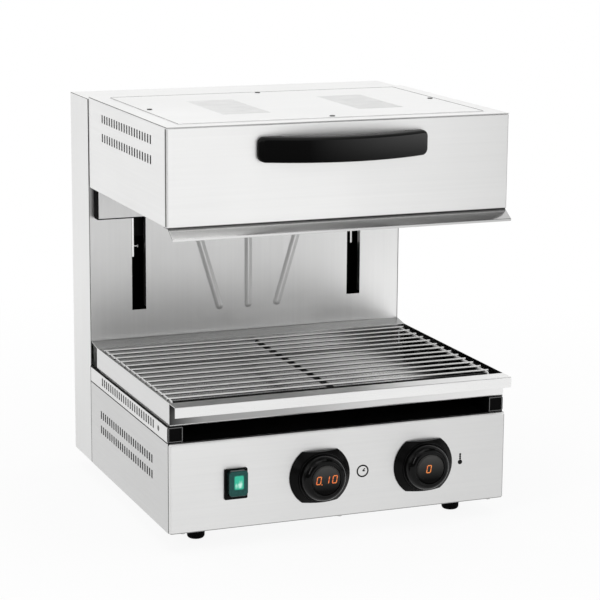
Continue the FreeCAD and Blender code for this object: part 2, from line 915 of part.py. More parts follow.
def knob_display(x):
    """Fixed core of a knob: the display face and the spindle through the panel."""
    core = round_bar(V(x, -disc_thick, control_z), V(x, -display_front, control_z),
                     display_radius)
    front = [e for e in core.Edges if e.BoundBox.YMax < display_edge - display_front]
    core = core.makeChamfer(display_edge, front)
    spindle = round_bar(V(x, -disc_thick, control_z),
                        V(x, sheet + board_gap - fit_gap, control_z), spindle_radius)
    return joined([core, spindle])


def control_board(x):
    """Circuit board behind a knob, on four posts."""
    back = sheet + board_gap
    board = block(around(x, board_width / 2), (back, back + board_thick),
                  around(control_z, board_height / 2))
    pieces = [board]
    for px in around(x, board_width / 2 - post_inset):
        for pz in around(control_z, board_height / 2 - post_inset):
            pieces.append(round_bar(V(px, sheet, pz), V(px, back, pz), post_radius))
    return joined(pieces)


def terminal_block():
    """Row of screw terminals on the base pan."""
    z = (pan_top, pan_top + terminal_height)
    y = column_front - terminal_setback
    body = block((terminal_x, terminal_x + terminal_width), (y, y + terminal_depth), z)
    pitch = terminal_width / terminal_poles
    cutters = []
    for i in range(terminal_poles):
        x = terminal_x + pitch * (i + 0.5)
        cutters.append(round_bar(V(x, y + terminal_depth / 2, z[1] - terminal_screw_depth),
                                 V(x, y + terminal_depth / 2, z[1] + overrun),
                                 terminal_screw_radius))
        if i:
            cutters.append(block(around(x - pitch / 2, terminal_groove / 2),
                                 (y - overrun, y + terminal_depth + overrun),
                                 (z[1] - terminal_screw_depth, z[1] + overrun)))
    return body.cut(cutters)


def relay():
    """Power relay on the base pan, stepped at its terminals."""
    z = (pan_top, pan_top + relay_height)
    front = column_front - relay_setback
    rear = front + relay_depth
    body = block((relay_x, relay_x + relay_width), (front, rear), z)
    steps = [block((relay_x - overrun, relay_x + relay_width + overrun), y,
                   (z[1] - relay_step, z[1] + overrun))
             for y in ((front - overrun, front + relay_step), (rear - relay_step, rear + overrun))]
    return body.cut(steps)


def crumb_tray():
    """Folded tray with a front lip to pull it by and a ledge to the column at the back."""
    x = around(0, half_tray)
    y = (tray_front, tray_rear)
    outer = block(x, y, (tray_bottom, tray_top))
    low = [e for e in outer.Edges if e.BoundBox.ZMax < tray_bottom + seam]
    outer = outer.makeFillet(tray_corner, low)
    inner = block((x[0] + sheet, x[1] - sheet), (y[0] + sheet, y[1] - sheet),
                  (tray_bottom + sheet, tray_top + tray_height))
    low = [e for e in inner.Edges if e.BoundBox.ZMax < tray_bottom + sheet + seam]
    inner = inner.makeFillet(tray_corner - sheet, low)
    shell = outer.cut(inner)
    lip_front = tray_front - lip_reach
    lip = [V(x[0], tray_front + sheet, tray_top), V(x[0], lip_front, tray_top),
           V(x[0], lip_front, tray_top - lip_drop), V(x[0], lip_front + sheet, tray_top - lip_drop),
           V(x[0], lip_front + sheet, tray_top - sheet), V(x[0], tray_front + sheet, tray_top - sheet)]
    ledge_end = tray_rear + ledge_reach
    ledge = [V(x[0], tray_rear - sheet, tray_top - sheet), V(x[0], tray_rear, tray_top - sheet),
             V(x[0], ledge_end, tray_top + ledge_rise - sheet),
             V(x[0], ledge_end, tray_top + ledge_rise),
             V(x[0], tray_rear, tray_top), V(x[0], tray_rear - sheet, tray_top)]
    flanges = [face_of(points).extrude(V(2 * half_tray, 0, 0)) for points in (lip, ledge)]
    flanges[0] = fold(flanges[0], lip_front, tray_top, fold_radius)
    return joined([shell] + flanges)


def grid_side_wire(x):
    """Side wire of the grid, bent down at both ends into legs that stand in the tray."""
    floor = tray_bottom + sheet
    y = (grid_rod_first - grid_front_reach, grid_rod_last + grid_rear_reach)
    z = grid_wire_z
    cut_corner = grid_bend * (1 - math.sqrt(0.5))
    front = Part.Arc(V(x, y[0], z - grid_bend), V(x, y[0] + cut_corner, z - cut_corner),
                     V(x, y[0] + grid_bend, z)).toShape()
    rear = Part.Arc(V(x, y[1] - grid_bend, z), V(x, y[1] - cut_corner, z - cut_corner),
                    V(x, y[1], z - grid_bend)).toShape()
    path = Part.Wire([Part.makeLine(V(x, y[0], floor + fit_gap), V(x, y[0], z - grid_bend)), front,
                      Part.makeLine(V(x, y[0] + grid_bend, z), V(x, y[1] - grid_bend, z)), rear,
                      Part.makeLine(V(x, y[1], z - grid_bend), V(x, y[1], floor + fit_gap))])
    ring = Part.Wire(Part.makeCircle(grid_wire_radius, V(x, y[0], floor + fit_gap), V(0, 0, 1)))
    return path.makePipeShell([ring], True, False)


def wire_grid():
    """Round rods on two side wires and a middle wire, with a bar across the front."""
    pieces = [grid_side_wire(-grid_wire_x), grid_side_wire(grid_wire_x)]
    bar_y = grid_rod_first - grid_front_reach + grid_wire_radius
    bar_x = grid_wire_x - grid_wire_radius
    pieces.append(round_bar(V(-bar_x, bar_y, grid_wire_z), V(bar_x, bar_y, grid_wire_z),
                            grid_wire_radius))
    pieces.append(round_bar(V(0, bar_y + grid_wire_radius, grid_middle_z),
                            V(0, grid_rod_last + grid_bend / 2, grid_middle_z),
                            grid_middle_radius))
    for i in range(grid_rod_count):
        y = grid_rod_first + grid_rod_pitch * i
        pieces.append(round_bar(V(-grid_half_width, y, grid_rod_z),
                                V(grid_half_width, y, grid_rod_z), grid_rod_radius))
    return pieces


def hood_front_panel():
    """Front sheet of the hood with its returns and the handle's screw holes."""
    rear = hood_front + sheet + hood_flange
    panel = folded_front(around(0, half_hood), (hood_front, rear), (hood_bottom, hood_lid),
                         hood_bend)
    corner_x = half_hood - sheet - hood_flange - seam
    beyond = half_hood + overrun
    cutters = [block(side, (hood_front + hood_return, rear + overrun),
                     (hood_bottom - overrun, hood_lid + overrun))
               for side in ((corner_x, beyond), (-beyond, -corner_x))]
    cutters += [handle_screw_bar(x, hood_front - overrun, hood_front + sheet + overrun,
                                 handle_screw_radius + handle_screw_play)
                for x in (-handle_screw_x, handle_screw_x)]
    return panel.cut(cutters)


def hood_side():
    """Right-hand side sheet of the hood with its returns and two rows of slots."""
    wall = (half_hood - sheet, half_hood)
    low_x = wall[0] - hood_flange
    z = (hood_bottom, hood_lid)
    outer = block((low_x, half_hood), (hood_side_front, hood_rear), z)
    outer = outer.makeFillet(hood_bend, [e for e in outer.Edges if e.BoundBox.XMax > wall[0]
                                         and e.BoundBox.YMin < hood_rear - seam])
    inner = block((low_x - overrun, wall[0]), (hood_side_front + sheet, hood_rear + overrun),
                  (z[0] + sheet, z[1] - sheet))
    inner = inner.makeFillet(hood_bend - sheet, [e for e in inner.Edges
                                                 if e.BoundBox.XMin > low_x
                                                 and e.BoundBox.YMin < hood_rear])
    side = outer.cut(inner)
    through = (wall[0] - overrun, wall[1] + overrun)
    cutters = [block((low_x - overrun, wall[0]), (carriage_front - fit_gap, hood_rear + overrun),
                     (z[0] - overrun, z[1] + overrun))]
    for low in (hood_vent_low, hood_vent_low + hood_vent_rise):
        cutters += vent_row(through, hood_vent_first, hood_vent_pitch, hood_vent_count,
                            hood_bottom + low)
    return side.cut(cutters)


def cover_screw_places():
    """Middle points of the four screws of the cover plate, one at each edge."""
    x = half_hood - cover_plate_inset_x - cover_screw_inset
    middle = (cover_plate_front + cover_plate_rear) / 2
    return [(0, cover_plate_front + cover_screw_inset), (0, cover_plate_rear - cover_screw_inset),
            (-x, middle), (x, middle)]


def cover_screw_bar(place, start, end, radius):
    """Bar along the axis of a screw of the cover plate."""
    return round_bar(V(place[0], place[1], start), V(place[0], place[1], end), radius)


def hood_top_frame():
    """Top sheet of the hood, open under the cover plate."""
    frame = block(around(0, half_hood), (hood_front, hood_rear), (hood_lid, hood_top))
    access = block(around(0, half_hood - hood_access_inset_x),
                   (hood_front + hood_access_inset_y, hood_rear - hood_access_inset_y),
                   (hood_lid - overrun, hood_top + overrun))
    holes = [cover_screw_bar(place, hood_lid - overrun, hood_top + overrun,
                             cover_screw_shank + seam / 4) for place in cover_screw_places()]
    return frame.cut([access] + holes)


def cover_plate():
    """Cover plate on the hood's top with two fields of fine slits."""
    z = (hood_top, hood_top + sheet)
    plate = block(around(0, half_hood - cover_plate_inset_x), (cover_plate_front, cover_plate_rear),
                  z)
    cutters = [cover_screw_bar(place, z[0] - overrun, z[1] + overrun,
                               cover_screw_shank + seam / 4) for place in cover_screw_places()]
    for x in ((-slit_field_x - slit_length, -slit_field_x), (slit_field_x, slit_field_x + slit_length)):
        for i in range(slit_count):
            low = cover_plate_front + slit_first + slit_pitch * i
            cutters.append(block(x, (low, low + slit_width), (z[0] - overrun, z[1] + overrun)))
    return plate.cut(cutters)


def cover_screws():
    """Low round heads on the cover plate."""
    base = hood_top + sheet
    return [joined([cover_screw_bar(place, base, base + cover_screw_height, cover_screw_radius),
                    cover_screw_bar(place, base - cover_screw_length, base, cover_screw_shank)])
            for place in cover_screw_places()]


def hood_lip():
    """Sloping drip lip under the hood's front edge, hemmed along its lower edge."""
    x = half_hood - lip_inset
    top = hood_bottom
    start = hood_front + hood_lip_start
    toe = start - hood_lip_reach
    fall = top - sheet - hood_lip_fall
    points = [V(-x, start + hood_lip_leg, top), V(-x, start, top), V(-x, toe, top - hood_lip_fall),
              V(-x, toe, fall - hood_lip_hem), V(-x, toe + sheet, fall - hood_lip_hem),
              V(-x, toe + sheet, fall), V(-x, start + sheet / 2, top - sheet),
              V(-x, start + hood_lip_leg, top - sheet)]
    lip = face_of(points).extrude(V(2 * x, 0, 0))
    return fold(lip, toe, top - hood_lip_fall, lip_bend)


def carriage_plate():
    """Sheet that closes the hood's back and hangs below its lower edge."""
    return block(around(0, carriage_half_width), (carriage_front, carriage_rear),
                 (hood_bottom - carriage_drop, hood_lid))


def carriage_seal():
    """Black edging down both sides of the carriage plate and along its lower edge."""
    low = hood_bottom - carriage_drop
    y = (carriage_front, column_front - seal_rear_gap)
    x = carriage_half_width
    return joined([
        block((-x - seal_thick, -x), y, (low - seal_thick, hood_lid)),
        block((x, x + seal_thick), y, (low - seal_thick, hood_lid)),
        block((-x - seal_thick, x + seal_thick), y, (low - seal_thick, low))])


def carriage_arm():
    """Right-hand arm: fixed to the carriage plate, through the slot and down the channel."""
    x = channel_middle_x - arm_thick / 2
    nose = arm_front + arm_nose_depth
    outline = [V(x, arm_front, arm_foot_z), V(x, nose, arm_foot_z), V(x, nose, arm_upper_z),
               V(x, arm_rear, arm_upper_z), V(x, arm_rear, arm_top_z),
               V(x, carriage_rear, arm_top_z),
               V(x, carriage_rear, arm_tongue_z), V(x, arm_front, arm_tongue_z)]
    plate = face_of(outline).extrude(V(arm_thick, 0, 0))
    tab = block((x, x + arm_tab), (carriage_rear, carriage_rear + arm_thick),
                (arm_tongue_z, arm_top_z))
    return joined([plate, tab])


def arm_pin():
    """Pin with a thin round head on the inner face of the right-hand arm."""
    face = channel_middle_x - arm_thick / 2
    neck = face - pin_shank_length
    return joined([round_bar(V(face, pin_y, pin_z), V(neck, pin_y, pin_z), pin_shank_radius),
                   round_bar(V(neck, pin_y, pin_z), V(neck - pin_head_length, pin_y, pin_z),
                             pin_head_radius)])


def arm_shoes():
    """Black sliding shoes on both faces of the right-hand arm."""
    inner = channel_half_inside - high_shoe_play
    rear = channel_rear - channel_wall - high_shoe_play
    upper = (arm_upper_z, arm_top_z)
    lower = (low_shoe_z, low_shoe_z + low_shoe_height)
    front = arm_front + low_shoe_setback
    shoes = []
    for side in ((channel_middle_x - inner, channel_middle_x - arm_thick / 2),
                 (channel_middle_x + arm_thick / 2, channel_middle_x + inner)):
        shoes.append(block(side, (high_shoe_front, rear), upper))
        shoes.append(block(side, (front, front + low_shoe_depth), lower))
    return shoes


def bow_face(outer_bow, half_length, depth, low):
    """Crescent in plan between the hood's front and a bowed line."""
    y = hood_front
    left = V(-half_length, y - depth, low)
    right = V(half_length, y - depth, low)
    bow = Part.Arc(left, V(0, y - outer_bow, low), right).toShape()
    sides = [Part.makeLine(right, V(half_length, y, low)),
             Part.makeLine(V(half_length, y, low), V(-half_length, y, low)),
             Part.makeLine(V(-half_length, y, low), left)]
    return Part.Face(Part.Wire([bow] + sides))


def handle_screw_bar(x, start, end, radius):
    """Bar along the axis of a handle screw."""
    return round_bar(V(x, start, handle_middle_z), V(x, end, handle_middle_z), radius)


def handle():
    """Bowed moulded handle with rounded ends and a finger gap behind it."""
    body = bow_face(handle_bow, handle_half_length, handle_end_depth, handle_low)
    body = body.extrude(V(0, 0, handle_height))
    ends = [e for e in body.Edges if e.BoundBox.ZLength > handle_height - seam
            and e.BoundBox.YMax < hood_front - seam]
    body = body.makeFillet(handle_end_rounding, ends)
    z = (handle_low, handle_low + handle_height)
    body = body.common(rounded_block(around(0, handle_half_length),
                                     (hood_front - handle_bow - overrun, hood_front), z,
                                     handle_corner))
    front = [e for e in body.Edges if e.BoundBox.YMax < hood_front - seam
             and e.BoundBox.YMin < hood_front - handle_end_depth]
    body = body.makeFillet(handle_rounding, front)
    half_gap = handle_half_length - handle_foot_length
    gap = bow_face(handle_bow - handle_thick, half_gap, overrun, handle_low - overrun)
    gap = gap.extrude(V(0, 0, handle_height + 2 * overrun))
    holes = [handle_screw_bar(x, hood_front - handle_screw_length, hood_front + overrun,
                              handle_screw_radius + handle_screw_play)
             for x in (-handle_screw_x, handle_screw_x)]
    return body.cut([gap] + holes)


def handle_screws():
    """Screws from inside the hood into the handle."""
    face = hood_front + sheet
    end = hood_front - handle_screw_length + overrun / 4
    return [joined([handle_screw_bar(x, end, face, handle_screw_radius),
                    handle_screw_bar(x, face, face + handle_screw_head,
                                     handle_screw_head_radius)])
            for x in (-handle_screw_x, handle_screw_x)]


def reflector():
    """Open trough over the heating elements, with a rim that rests on the hood's flanges."""
    x = half_hood - reflector_inset_x
    y = (reflector_front, reflector_rear)
    z = (hood_bottom + sheet, reflector_top)
    rim = block(around(0, half_hood - hood_bend - seam),
                (hood_side_front + hood_bend + seam, carriage_front), (z[0], z[0] + sheet))
    outer = block(around(0, x), y, z)
    inner = block(around(0, x - sheet), (y[0] + sheet, y[1] - sheet), (z[0] - overrun, z[1] - sheet))
    holes = []
    for row in element_places():
        holes.append(round_bar(V(0, row, element_z), V(half_hood, row, element_z),
                               element_radius + element_hole_play))
    return joined([rim, outer]).cut([inner] + holes)


def element_places():
    """Positions from front to back of the heating elements' legs."""
    return [y for middle in element_middles() for y in around(middle, element_half_gap)]


def element_middles():
    """Positions from front to back of the heating elements."""
    return [element_front + element_pitch * i for i in range(element_rows)]


def element(middle):
    """Hairpin tube heater, its turn at the left and its ends through the reflector."""
    end = half_hood - reflector_inset_x + element_tail
    legs = around(middle, element_half_gap)
    turn = V(-element_turn_x - element_half_gap, middle, element_z)
    bend = Part.Arc(V(-element_turn_x, legs[0], element_z), turn,
                    V(-element_turn_x, legs[1], element_z)).toShape()
    path = Part.Wire([Part.makeLine(V(end, legs[0], element_z),
                                    V(-element_turn_x, legs[0], element_z)), bend,
                      Part.makeLine(V(-element_turn_x, legs[1], element_z),
                                    V(end, legs[1], element_z))])
    ring = Part.Wire(Part.makeCircle(element_radius, V(end, legs[0], element_z), V(1, 0, 0)))
    return path.makePipeShell([ring], True, False)


def element_hanger(x):
    """Holed sheet that hangs from the reflector and carries the elements."""
    plate = block(around(x, hanger_thick / 2),
                  (reflector_front + hanger_end_gap, reflector_rear - hanger_end_gap),
                  (element_z - hanger_below, reflector_top - sheet))
    return plate.cut([round_bar(V(x - overrun, y, element_z), V(x + overrun, y, element_z),
                                element_radius + element_hole_play / 2)
                      for y in element_places()])


def heat_shield():
    """Sheet on four posts between the reflector and the hood's top."""
    x = half_hood - reflector_inset_x
    low = reflector_top + shield_gap
    plate = block(around(0, x), (reflector_front, reflector_rear), (low, low + sheet))
    posts = [round_bar(V(px, py, reflector_top), V(px, py, low), shield_post_radius)
             for px in around(0, x - shield_post_inset)
             for py in (reflector_front + shield_post_inset, reflector_rear - shield_post_inset)]
    return joined([plate] + posts)


os.makedirs("parts", exist_ok=True)

save("base_front_panel", [base_front()])
save("edge_screws", edge_screws())
save("base_side_right", [base_side()])
save("base_side_left", [mirrored(base_side())])
save("base_pan", [base_pan()])
save("deck_plate", [deck_plate()])
save("vent_strip_right", [vent_strip()])
save("vent_strip_left", [mirrored(vent_strip())])
save("strip_screws", [strip_screw(), mirrored(strip_screw())])
save("runners", [runner(), mirrored(runner())])
save("runner_plugs", [runner_plug(), mirrored(runner_plug())])
save("tray_glides", [glide(), mirrored(glide())])
save("feet", [foot(x, y) for x, y in foot_places()])
save("foot_screws", [foot_screw(x, y) for x, y in foot_places()])

save("column_side_right", [column_side()])
save("column_side_left", [mirrored(column_side())])
save("column_panel", [column_panel()])
save("column_cap", [column_cap()])
save("back_cover", [back_cover()])
save("back_screws", back_screws())
save("cable_gland", [gland()])
save("gland_nut", [gland_nut()])
save("bonding_stud", [bonding_stud()])
save("guide_channels", [guide_channel(), mirrored(guide_channel())])
save("strut_feet", [strut_foot(), mirrored(strut_foot())])
save("strut_cylinders", [strut_cylinder(), mirrored(strut_cylinder())])

save("switch_bezel", [switch_bezel()])
save("switch_body", [switch_body()])
save("rocker", [rocker()])
save("switch_cover", [switch_cover()])
for name, knob_x in (("timer", timer_x), ("thermostat", thermostat_x)):
    save(name + "_disc", [knob_disc(knob_x)])
    save(name + "_ring", [knob_ring(knob_x)])
    save(name + "_display", [knob_display(knob_x)])
save("control_boards", [control_board(timer_x), control_board(thermostat_x)])
save("terminal_block", [terminal_block()])
save("power_relay", [relay()])

save("crumb_tray", [crumb_tray()])
save("wire_grid", wire_grid())

save("hood_front_panel", [hood_front_panel()])
save("hood_side_right", [hood_side()])
save("hood_side_left", [mirrored(hood_side())])
save("hood_top_frame", [hood_top_frame()])
save("hood_cover_plate", [cover_plate()])
save("cover_screws", cover_screws())
save("hood_lip", [hood_lip()])
save("carriage_plate", [carriage_plate()])
save("carriage_seal", [carriage_seal()])
save("carriage_arms", [carriage_arm(), mirrored(carriage_arm())])
save("arm_pin", [mirrored(arm_pin())])
save("carriage_shoes", arm_shoes() + [mirrored(shoe) for shoe in arm_shoes()])
save("strut_rods", [strut_rod(), mirrored(strut_rod())])
save("handle", [handle()])
save("handle_screws", handle_screws())
save("reflector", [reflector()])
save("heating_elements", [element(middle) for middle in element_middles()])
save("element_hangers", [element_hanger(-hanger_x), element_hanger(hanger_x)])
save("heat_shield", [heat_shield()])
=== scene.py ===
import json
import math

import bmesh
import bpy
from mathutils import Matrix, Vector

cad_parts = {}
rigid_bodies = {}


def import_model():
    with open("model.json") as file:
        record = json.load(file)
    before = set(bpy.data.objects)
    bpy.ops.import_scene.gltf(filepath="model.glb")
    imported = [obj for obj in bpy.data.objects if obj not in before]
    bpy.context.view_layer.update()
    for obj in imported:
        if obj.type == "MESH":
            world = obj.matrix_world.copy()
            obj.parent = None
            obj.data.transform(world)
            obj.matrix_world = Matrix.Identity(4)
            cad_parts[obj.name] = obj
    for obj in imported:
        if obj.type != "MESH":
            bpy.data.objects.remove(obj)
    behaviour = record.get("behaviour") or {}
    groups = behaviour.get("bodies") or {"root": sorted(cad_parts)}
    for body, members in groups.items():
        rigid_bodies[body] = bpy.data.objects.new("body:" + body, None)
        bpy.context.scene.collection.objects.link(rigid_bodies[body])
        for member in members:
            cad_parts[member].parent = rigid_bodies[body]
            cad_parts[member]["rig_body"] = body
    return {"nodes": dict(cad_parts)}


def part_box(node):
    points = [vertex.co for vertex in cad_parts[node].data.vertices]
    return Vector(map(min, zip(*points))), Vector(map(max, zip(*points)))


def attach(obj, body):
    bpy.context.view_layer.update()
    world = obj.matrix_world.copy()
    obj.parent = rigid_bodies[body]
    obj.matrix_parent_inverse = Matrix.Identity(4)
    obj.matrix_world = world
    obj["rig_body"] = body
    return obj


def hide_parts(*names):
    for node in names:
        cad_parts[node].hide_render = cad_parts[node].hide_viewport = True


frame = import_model()

bl_info = {
    "name": "Cheese melter",
    "version": (1, 0, 0),
    "blender": (4, 5, 0),
    "location": "View3D > Sidebar > Melter",
    "description": "Dresses a lift-type cheese melter over its packed frame",
    "category": "Object",
}

FULL_TURN = 2 * math.pi

# Sheets and their steels
SHEETS = {
    "base_front_panel": "base_front_painted_light_steel", "hood_front_panel": "hood_front_painted_light_steel",
    "hood_top_frame": "hood_top_steel", "hood_cover_plate": "hood_top_steel",
    "hood_lip": "lip_painted_reflection_steel", "column_cap": "hood_top_steel", "back_cover": "back_steel",
    "base_side_right": "shaded_base_side_steel", "base_side_left": "shaded_base_side_steel",
    "vent_strip_right": "strip_steel", "vent_strip_left": "strip_steel",
    "hood_side_right": "hood_side_steel", "hood_side_left": "hood_side_steel",
    "column_side_right": "column_side_painted_shade_steel", "column_side_left": "column_side_painted_shade_steel",
    "column_panel": "column_front_painted_light_steel", "carriage_plate": "carriage_steel",
}
# The beads of the column's front: their front, how deep they are, and how far out they reach
BEAD_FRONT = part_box("column_panel")[0].y
BEAD_DEPTH = 0.0024
BEAD_REACH = 0.15
# Edges, folds and beads with painted shade, and folds with painted light, unlike their sheet:
# the finish, and a test of a face's middle and normal
AREAS = {
    "base_front_panel": (
        ("shaded_edge_steel", lambda _, normal: normal.z < -0.4 or normal.x > 0.4),
        ("painted_light_fold", lambda _, normal: 0.15 < normal.z < 0.97 and normal.y < 0)),
    "hood_front_panel": (("shaded_edge_steel", lambda _, normal: normal.z < -0.4 or normal.x > 0.4),),
    "hood_top_frame": (
        ("dark_shaded_edge_steel", lambda _, normal: abs(normal.x) > 0.6),
        ("shaded_fold_steel", lambda _, normal: normal.y < -0.6)),
    "hood_cover_plate": (
        ("shaded_fold_steel", lambda _, normal: abs(normal.x) > 0.6),
        ("painted_light_fold", lambda _, normal: abs(normal.z) < 0.5 and abs(normal.x) <= 0.6)),
    "hood_lip": (
        ("dark_shaded_edge_steel",
         lambda _, normal: normal.z < -0.2 and normal.y < -0.2 or abs(normal.x) > 0.9),),
    "column_cap": (("dark_shaded_edge_steel", lambda _, normal: abs(normal.x) > 0.6),),
    "column_side_left": (("shaded_edge_steel", lambda _, normal: normal.y < -0.9 or normal.z > 0.9),),
    "column_side_right": (("shaded_edge_steel", lambda _, normal: normal.y < -0.9 or normal.z > 0.9),),
    "column_panel": (
        ("shaded_bead_steel",
         lambda place, normal: place.y < BEAD_FRONT + BEAD_DEPTH and abs(place.x) < BEAD_REACH
         and abs(normal.z) < 0.999 and abs(normal.y) < 0.9999),),
}
# Parts that keep the frame's own mesh, and their finishes; the black deck plate and guide
# channels and the dark runners are painted shade in the recess under the tray and in the slots
HIDDEN_PARTS = {
    "base_pan": "zinc_plate", "foot_screws": "zinc_plate", "strut_feet": "zinc_plate",
    "heat_shield": "bright_sheet", "guide_channels": "black_paint",
    "strut_cylinders": "black_paint", "tray_glides": "slide_plastic",
    "switch_body": "black_moulding", "runners": "dark_zinc", "handle_screws": "zinc_plate",
    "carriage_shoes": "black_moulding", "deck_plate": "black_paint",
}
# Parts dressed all over: finish, slot and rounding of their edges
INNER_PARTS = {
    "control_boards": ("circuit_board", "board", 0.0),
    "terminal_block": ("slide_plastic", "white_plastic", 0.0004),
    "power_relay": ("slide_plastic", "white_plastic", 0.0006),
}
HEATING_PARTS = {
    "reflector": ("reflector_steel", "steel_sheet", 0.0002),
    "heating_elements": ("heated_tube", "element_tube", 0.0),
    "element_hangers": ("zinc_plate", "zinc_steel", 0.0002),
    "strut_rods": ("black_paint", "black_steel", 0.0),
}
BLACK_PARTS = {
    "carriage_seal": ("rubber", "black_rubber", 0.0003),
    "feet": ("rubber", "black_rubber", 0.0008),
    "cable_gland": ("black_moulding", "black_plastic", 0.0004),
    "gland_nut": ("black_moulding", "black_plastic", 0.0004),
    "bonding_stud": ("screw_plate", "zinc_steel", 0.0003),
}
SCREWS = {
    "edge_screws": ("screw_plate", "zinc_steel", 0.0004),
    "back_screws": ("screw_plate", "zinc_steel", 0.0004),
    "strip_screws": ("dark_zinc", "zinc_steel", 0.0004),
    "cover_screws": ("dark_zinc", "zinc_steel", 0.0004),
}
SWITCH_PARTS = {
    "switch_bezel": ("black_moulding", "black_plastic", 0.0006),
    "rocker": ("rocker_glow", "lit_rocker", 0.0008),
}
# Thickness of the grid's rods, and the shares of their thickness that rods and wires are drawn with
ROD_THICKNESS = 0.004
ROD_SHARE = 0.76
WIRE_SHARE = 0.7
# The side wires lie further from the middle than this, and are drawn higher; the one at the
# right also gets painted light
SIDE_WIRE_X = 0.18
SIDE_WIRE_RISE = 0.0018
# Dark strips painted as shade in the joints: how far they stand out of the sheets, and how far
# they reach in
JOINT_SHADE_PROUD = 0.00012
JOINT_SHADE_DEPTH = 0.0006
# Half the thickness of the clock's print
PRINT_HALF = 0.00006


class MelterFinish(bpy.types.PropertyGroup):
    """Colours and finish of the sheets and mouldings."""
    steel: bpy.props.FloatVectorProperty(
        name="Steel", description="Colour of the brushed steel sheets", subtype="COLOR",
        default=(0.84, 0.84, 0.835), min=0.0, max=1.0)
    steel_roughness: bpy.props.FloatProperty(
        name="Steel roughness", description="How dull the brushed steel is",
        default=0.36, min=0.05, max=1.0)
    edge_round: bpy.props.FloatProperty(
        name="Edge rounding", description="Rounding of the cut edges of the sheets",
        subtype="DISTANCE", unit="LENGTH", default=0.00025, min=0.0, max=0.001)
    gloss_black: bpy.props.FloatVectorProperty(
        name="Gloss black", description="Colour of the knobs", subtype="COLOR",
        default=(0.003, 0.003, 0.003), min=0.0, max=1.0)
    satin_black: bpy.props.FloatVectorProperty(
        name="Satin black", description="Colour of the handle and other black mouldings",
        subtype="COLOR", default=(0.003, 0.003, 0.003), min=0.0, max=1.0)
    figure_orange: bpy.props.FloatVectorProperty(
        name="Display figures", description="Colour of the lit figures", subtype="COLOR",
        default=(0.85, 0.12, 0.03), min=0.0, max=1.0)
    lamp_green: bpy.props.FloatVectorProperty(
        name="Switch lamp", description="Colour of the lit rocker", subtype="COLOR",
        default=(0.03, 0.42, 0.26), min=0.0, max=1.0)


class MelterHandle(bpy.types.PropertyGroup):
    """Sizes of the hood's handle."""
    thickness: bpy.props.FloatProperty(
        name="Thickness", description="Thickness of the bar", subtype="DISTANCE",
        unit="LENGTH", default=0.015, min=0.004, max=0.03)
    end_depth: bpy.props.FloatProperty(
        name="End depth", description="Depth of the handle at its ends", subtype="DISTANCE",
        unit="LENGTH", default=0.009, min=0.004, max=0.04)
    foot_length: bpy.props.FloatProperty(
        name="Foot length", description="Length of the part that stands on the hood at each end",
        subtype="DISTANCE", unit="LENGTH", default=0.030, min=0.005, max=0.05)
    corner: bpy.props.FloatProperty(
        name="Corner radius", description="Radius of the corners seen from the front",
        subtype="DISTANCE", unit="LENGTH", default=0.0085, min=0.001, max=0.015)
    rounding: bpy.props.FloatProperty(
        name="Edge radius", description="Radius of the edge round the front", subtype="DISTANCE",
        unit="LENGTH", default=0.0048, min=0.0005, max=0.008)


class MelterKnobs(bpy.types.PropertyGroup):
    """Sizes of the two knobs."""
    turns: bpy.props.IntProperty(
        name="Facets", description="Facets round a knob", default=128, min=24, max=256)
    figure_height: bpy.props.FloatProperty(
        name="Figure height", description="Height of the lit figures", subtype="DISTANCE",
        unit="LENGTH", default=0.0108, min=0.002, max=0.02)
    figure_width: bpy.props.FloatProperty(
        name="Figure width", description="Width of the lit figures", subtype="DISTANCE",
        unit="LENGTH", default=0.0068, min=0.001, max=0.02)
    figure_stroke: bpy.props.FloatProperty(
        name="Figure stroke", description="Width of the figures' bars", subtype="DISTANCE",
        unit="LENGTH", default=0.0012, min=0.0002, max=0.004)


class MelterStage(bpy.types.PropertyGroup):
    """Light, floor and camera."""
    key_power: bpy.props.FloatProperty(
        name="Key light", description="Power of the large light at the left", subtype="POWER",
        unit="POWER", default=14.0, min=0.0, max=500.0)
    top_power: bpy.props.FloatProperty(
        name="Top light", description="Power of the light overhead", subtype="POWER",
        unit="POWER", default=14.0, min=0.0, max=500.0)
    fill_power: bpy.props.FloatProperty(
        name="Fill light", description="Power of the light at the right", subtype="POWER",
        unit="POWER", default=5.0, min=0.0, max=500.0)
    room_level: bpy.props.FloatProperty(
        name="Room light", description="Strength of the light from all round",
        default=0.65, min=0.0, max=2.0)
    floor: bpy.props.FloatVectorProperty(
        name="Floor", description="Colour of the floor", subtype="COLOR",
        default=(0.90, 0.90, 0.90), min=0.0, max=1.0)
    lens: bpy.props.FloatProperty(
        name="Lens", description="Focal length for a sensor 36 mm wide, in millimetres",
        default=129.844, min=10.0, max=300.0)


def body_carrying(node):
    """Name of the body that a node of the frame rides on."""
    return frame["nodes"][node]["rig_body"]


def middle(node):
    """Middle of a node's box."""
    low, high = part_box(node)
    return (low + high) / 2


def new_piece(name, shape, finish_name, body, slot=None, smooth_degrees=None):
    """Object made from a bmesh, riding on a body; its faces are smooth if an angle is given."""
    mesh = bpy.data.meshes.new(name)
    if smooth_degrees is not None:
        limit = math.radians(smooth_degrees)
        for face in shape.faces:
            face.smooth = True
        for edge in shape.edges:
            edge.smooth = len(edge.link_faces) == 2 and edge.calc_face_angle() < limit
    shape.to_mesh(mesh)
    shape.free()
    piece = bpy.data.objects.new(name, mesh)
    bpy.context.scene.collection.objects.link(piece)
    mesh.materials.append(finish(finish_name))
    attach(piece, body)
    return piece


def merged(node):
    """Bmesh of a node's triangles, joined where they meet, with its flat faces whole."""
    shape = bmesh.new()
    shape.from_mesh(frame["nodes"][node].data)
    bmesh.ops.remove_doubles(shape, verts=shape.verts, dist=2e-6)
    bmesh.ops.dissolve_limit(shape, angle_limit=math.radians(0.4), verts=shape.verts,
                             edges=shape.edges)
    return shape


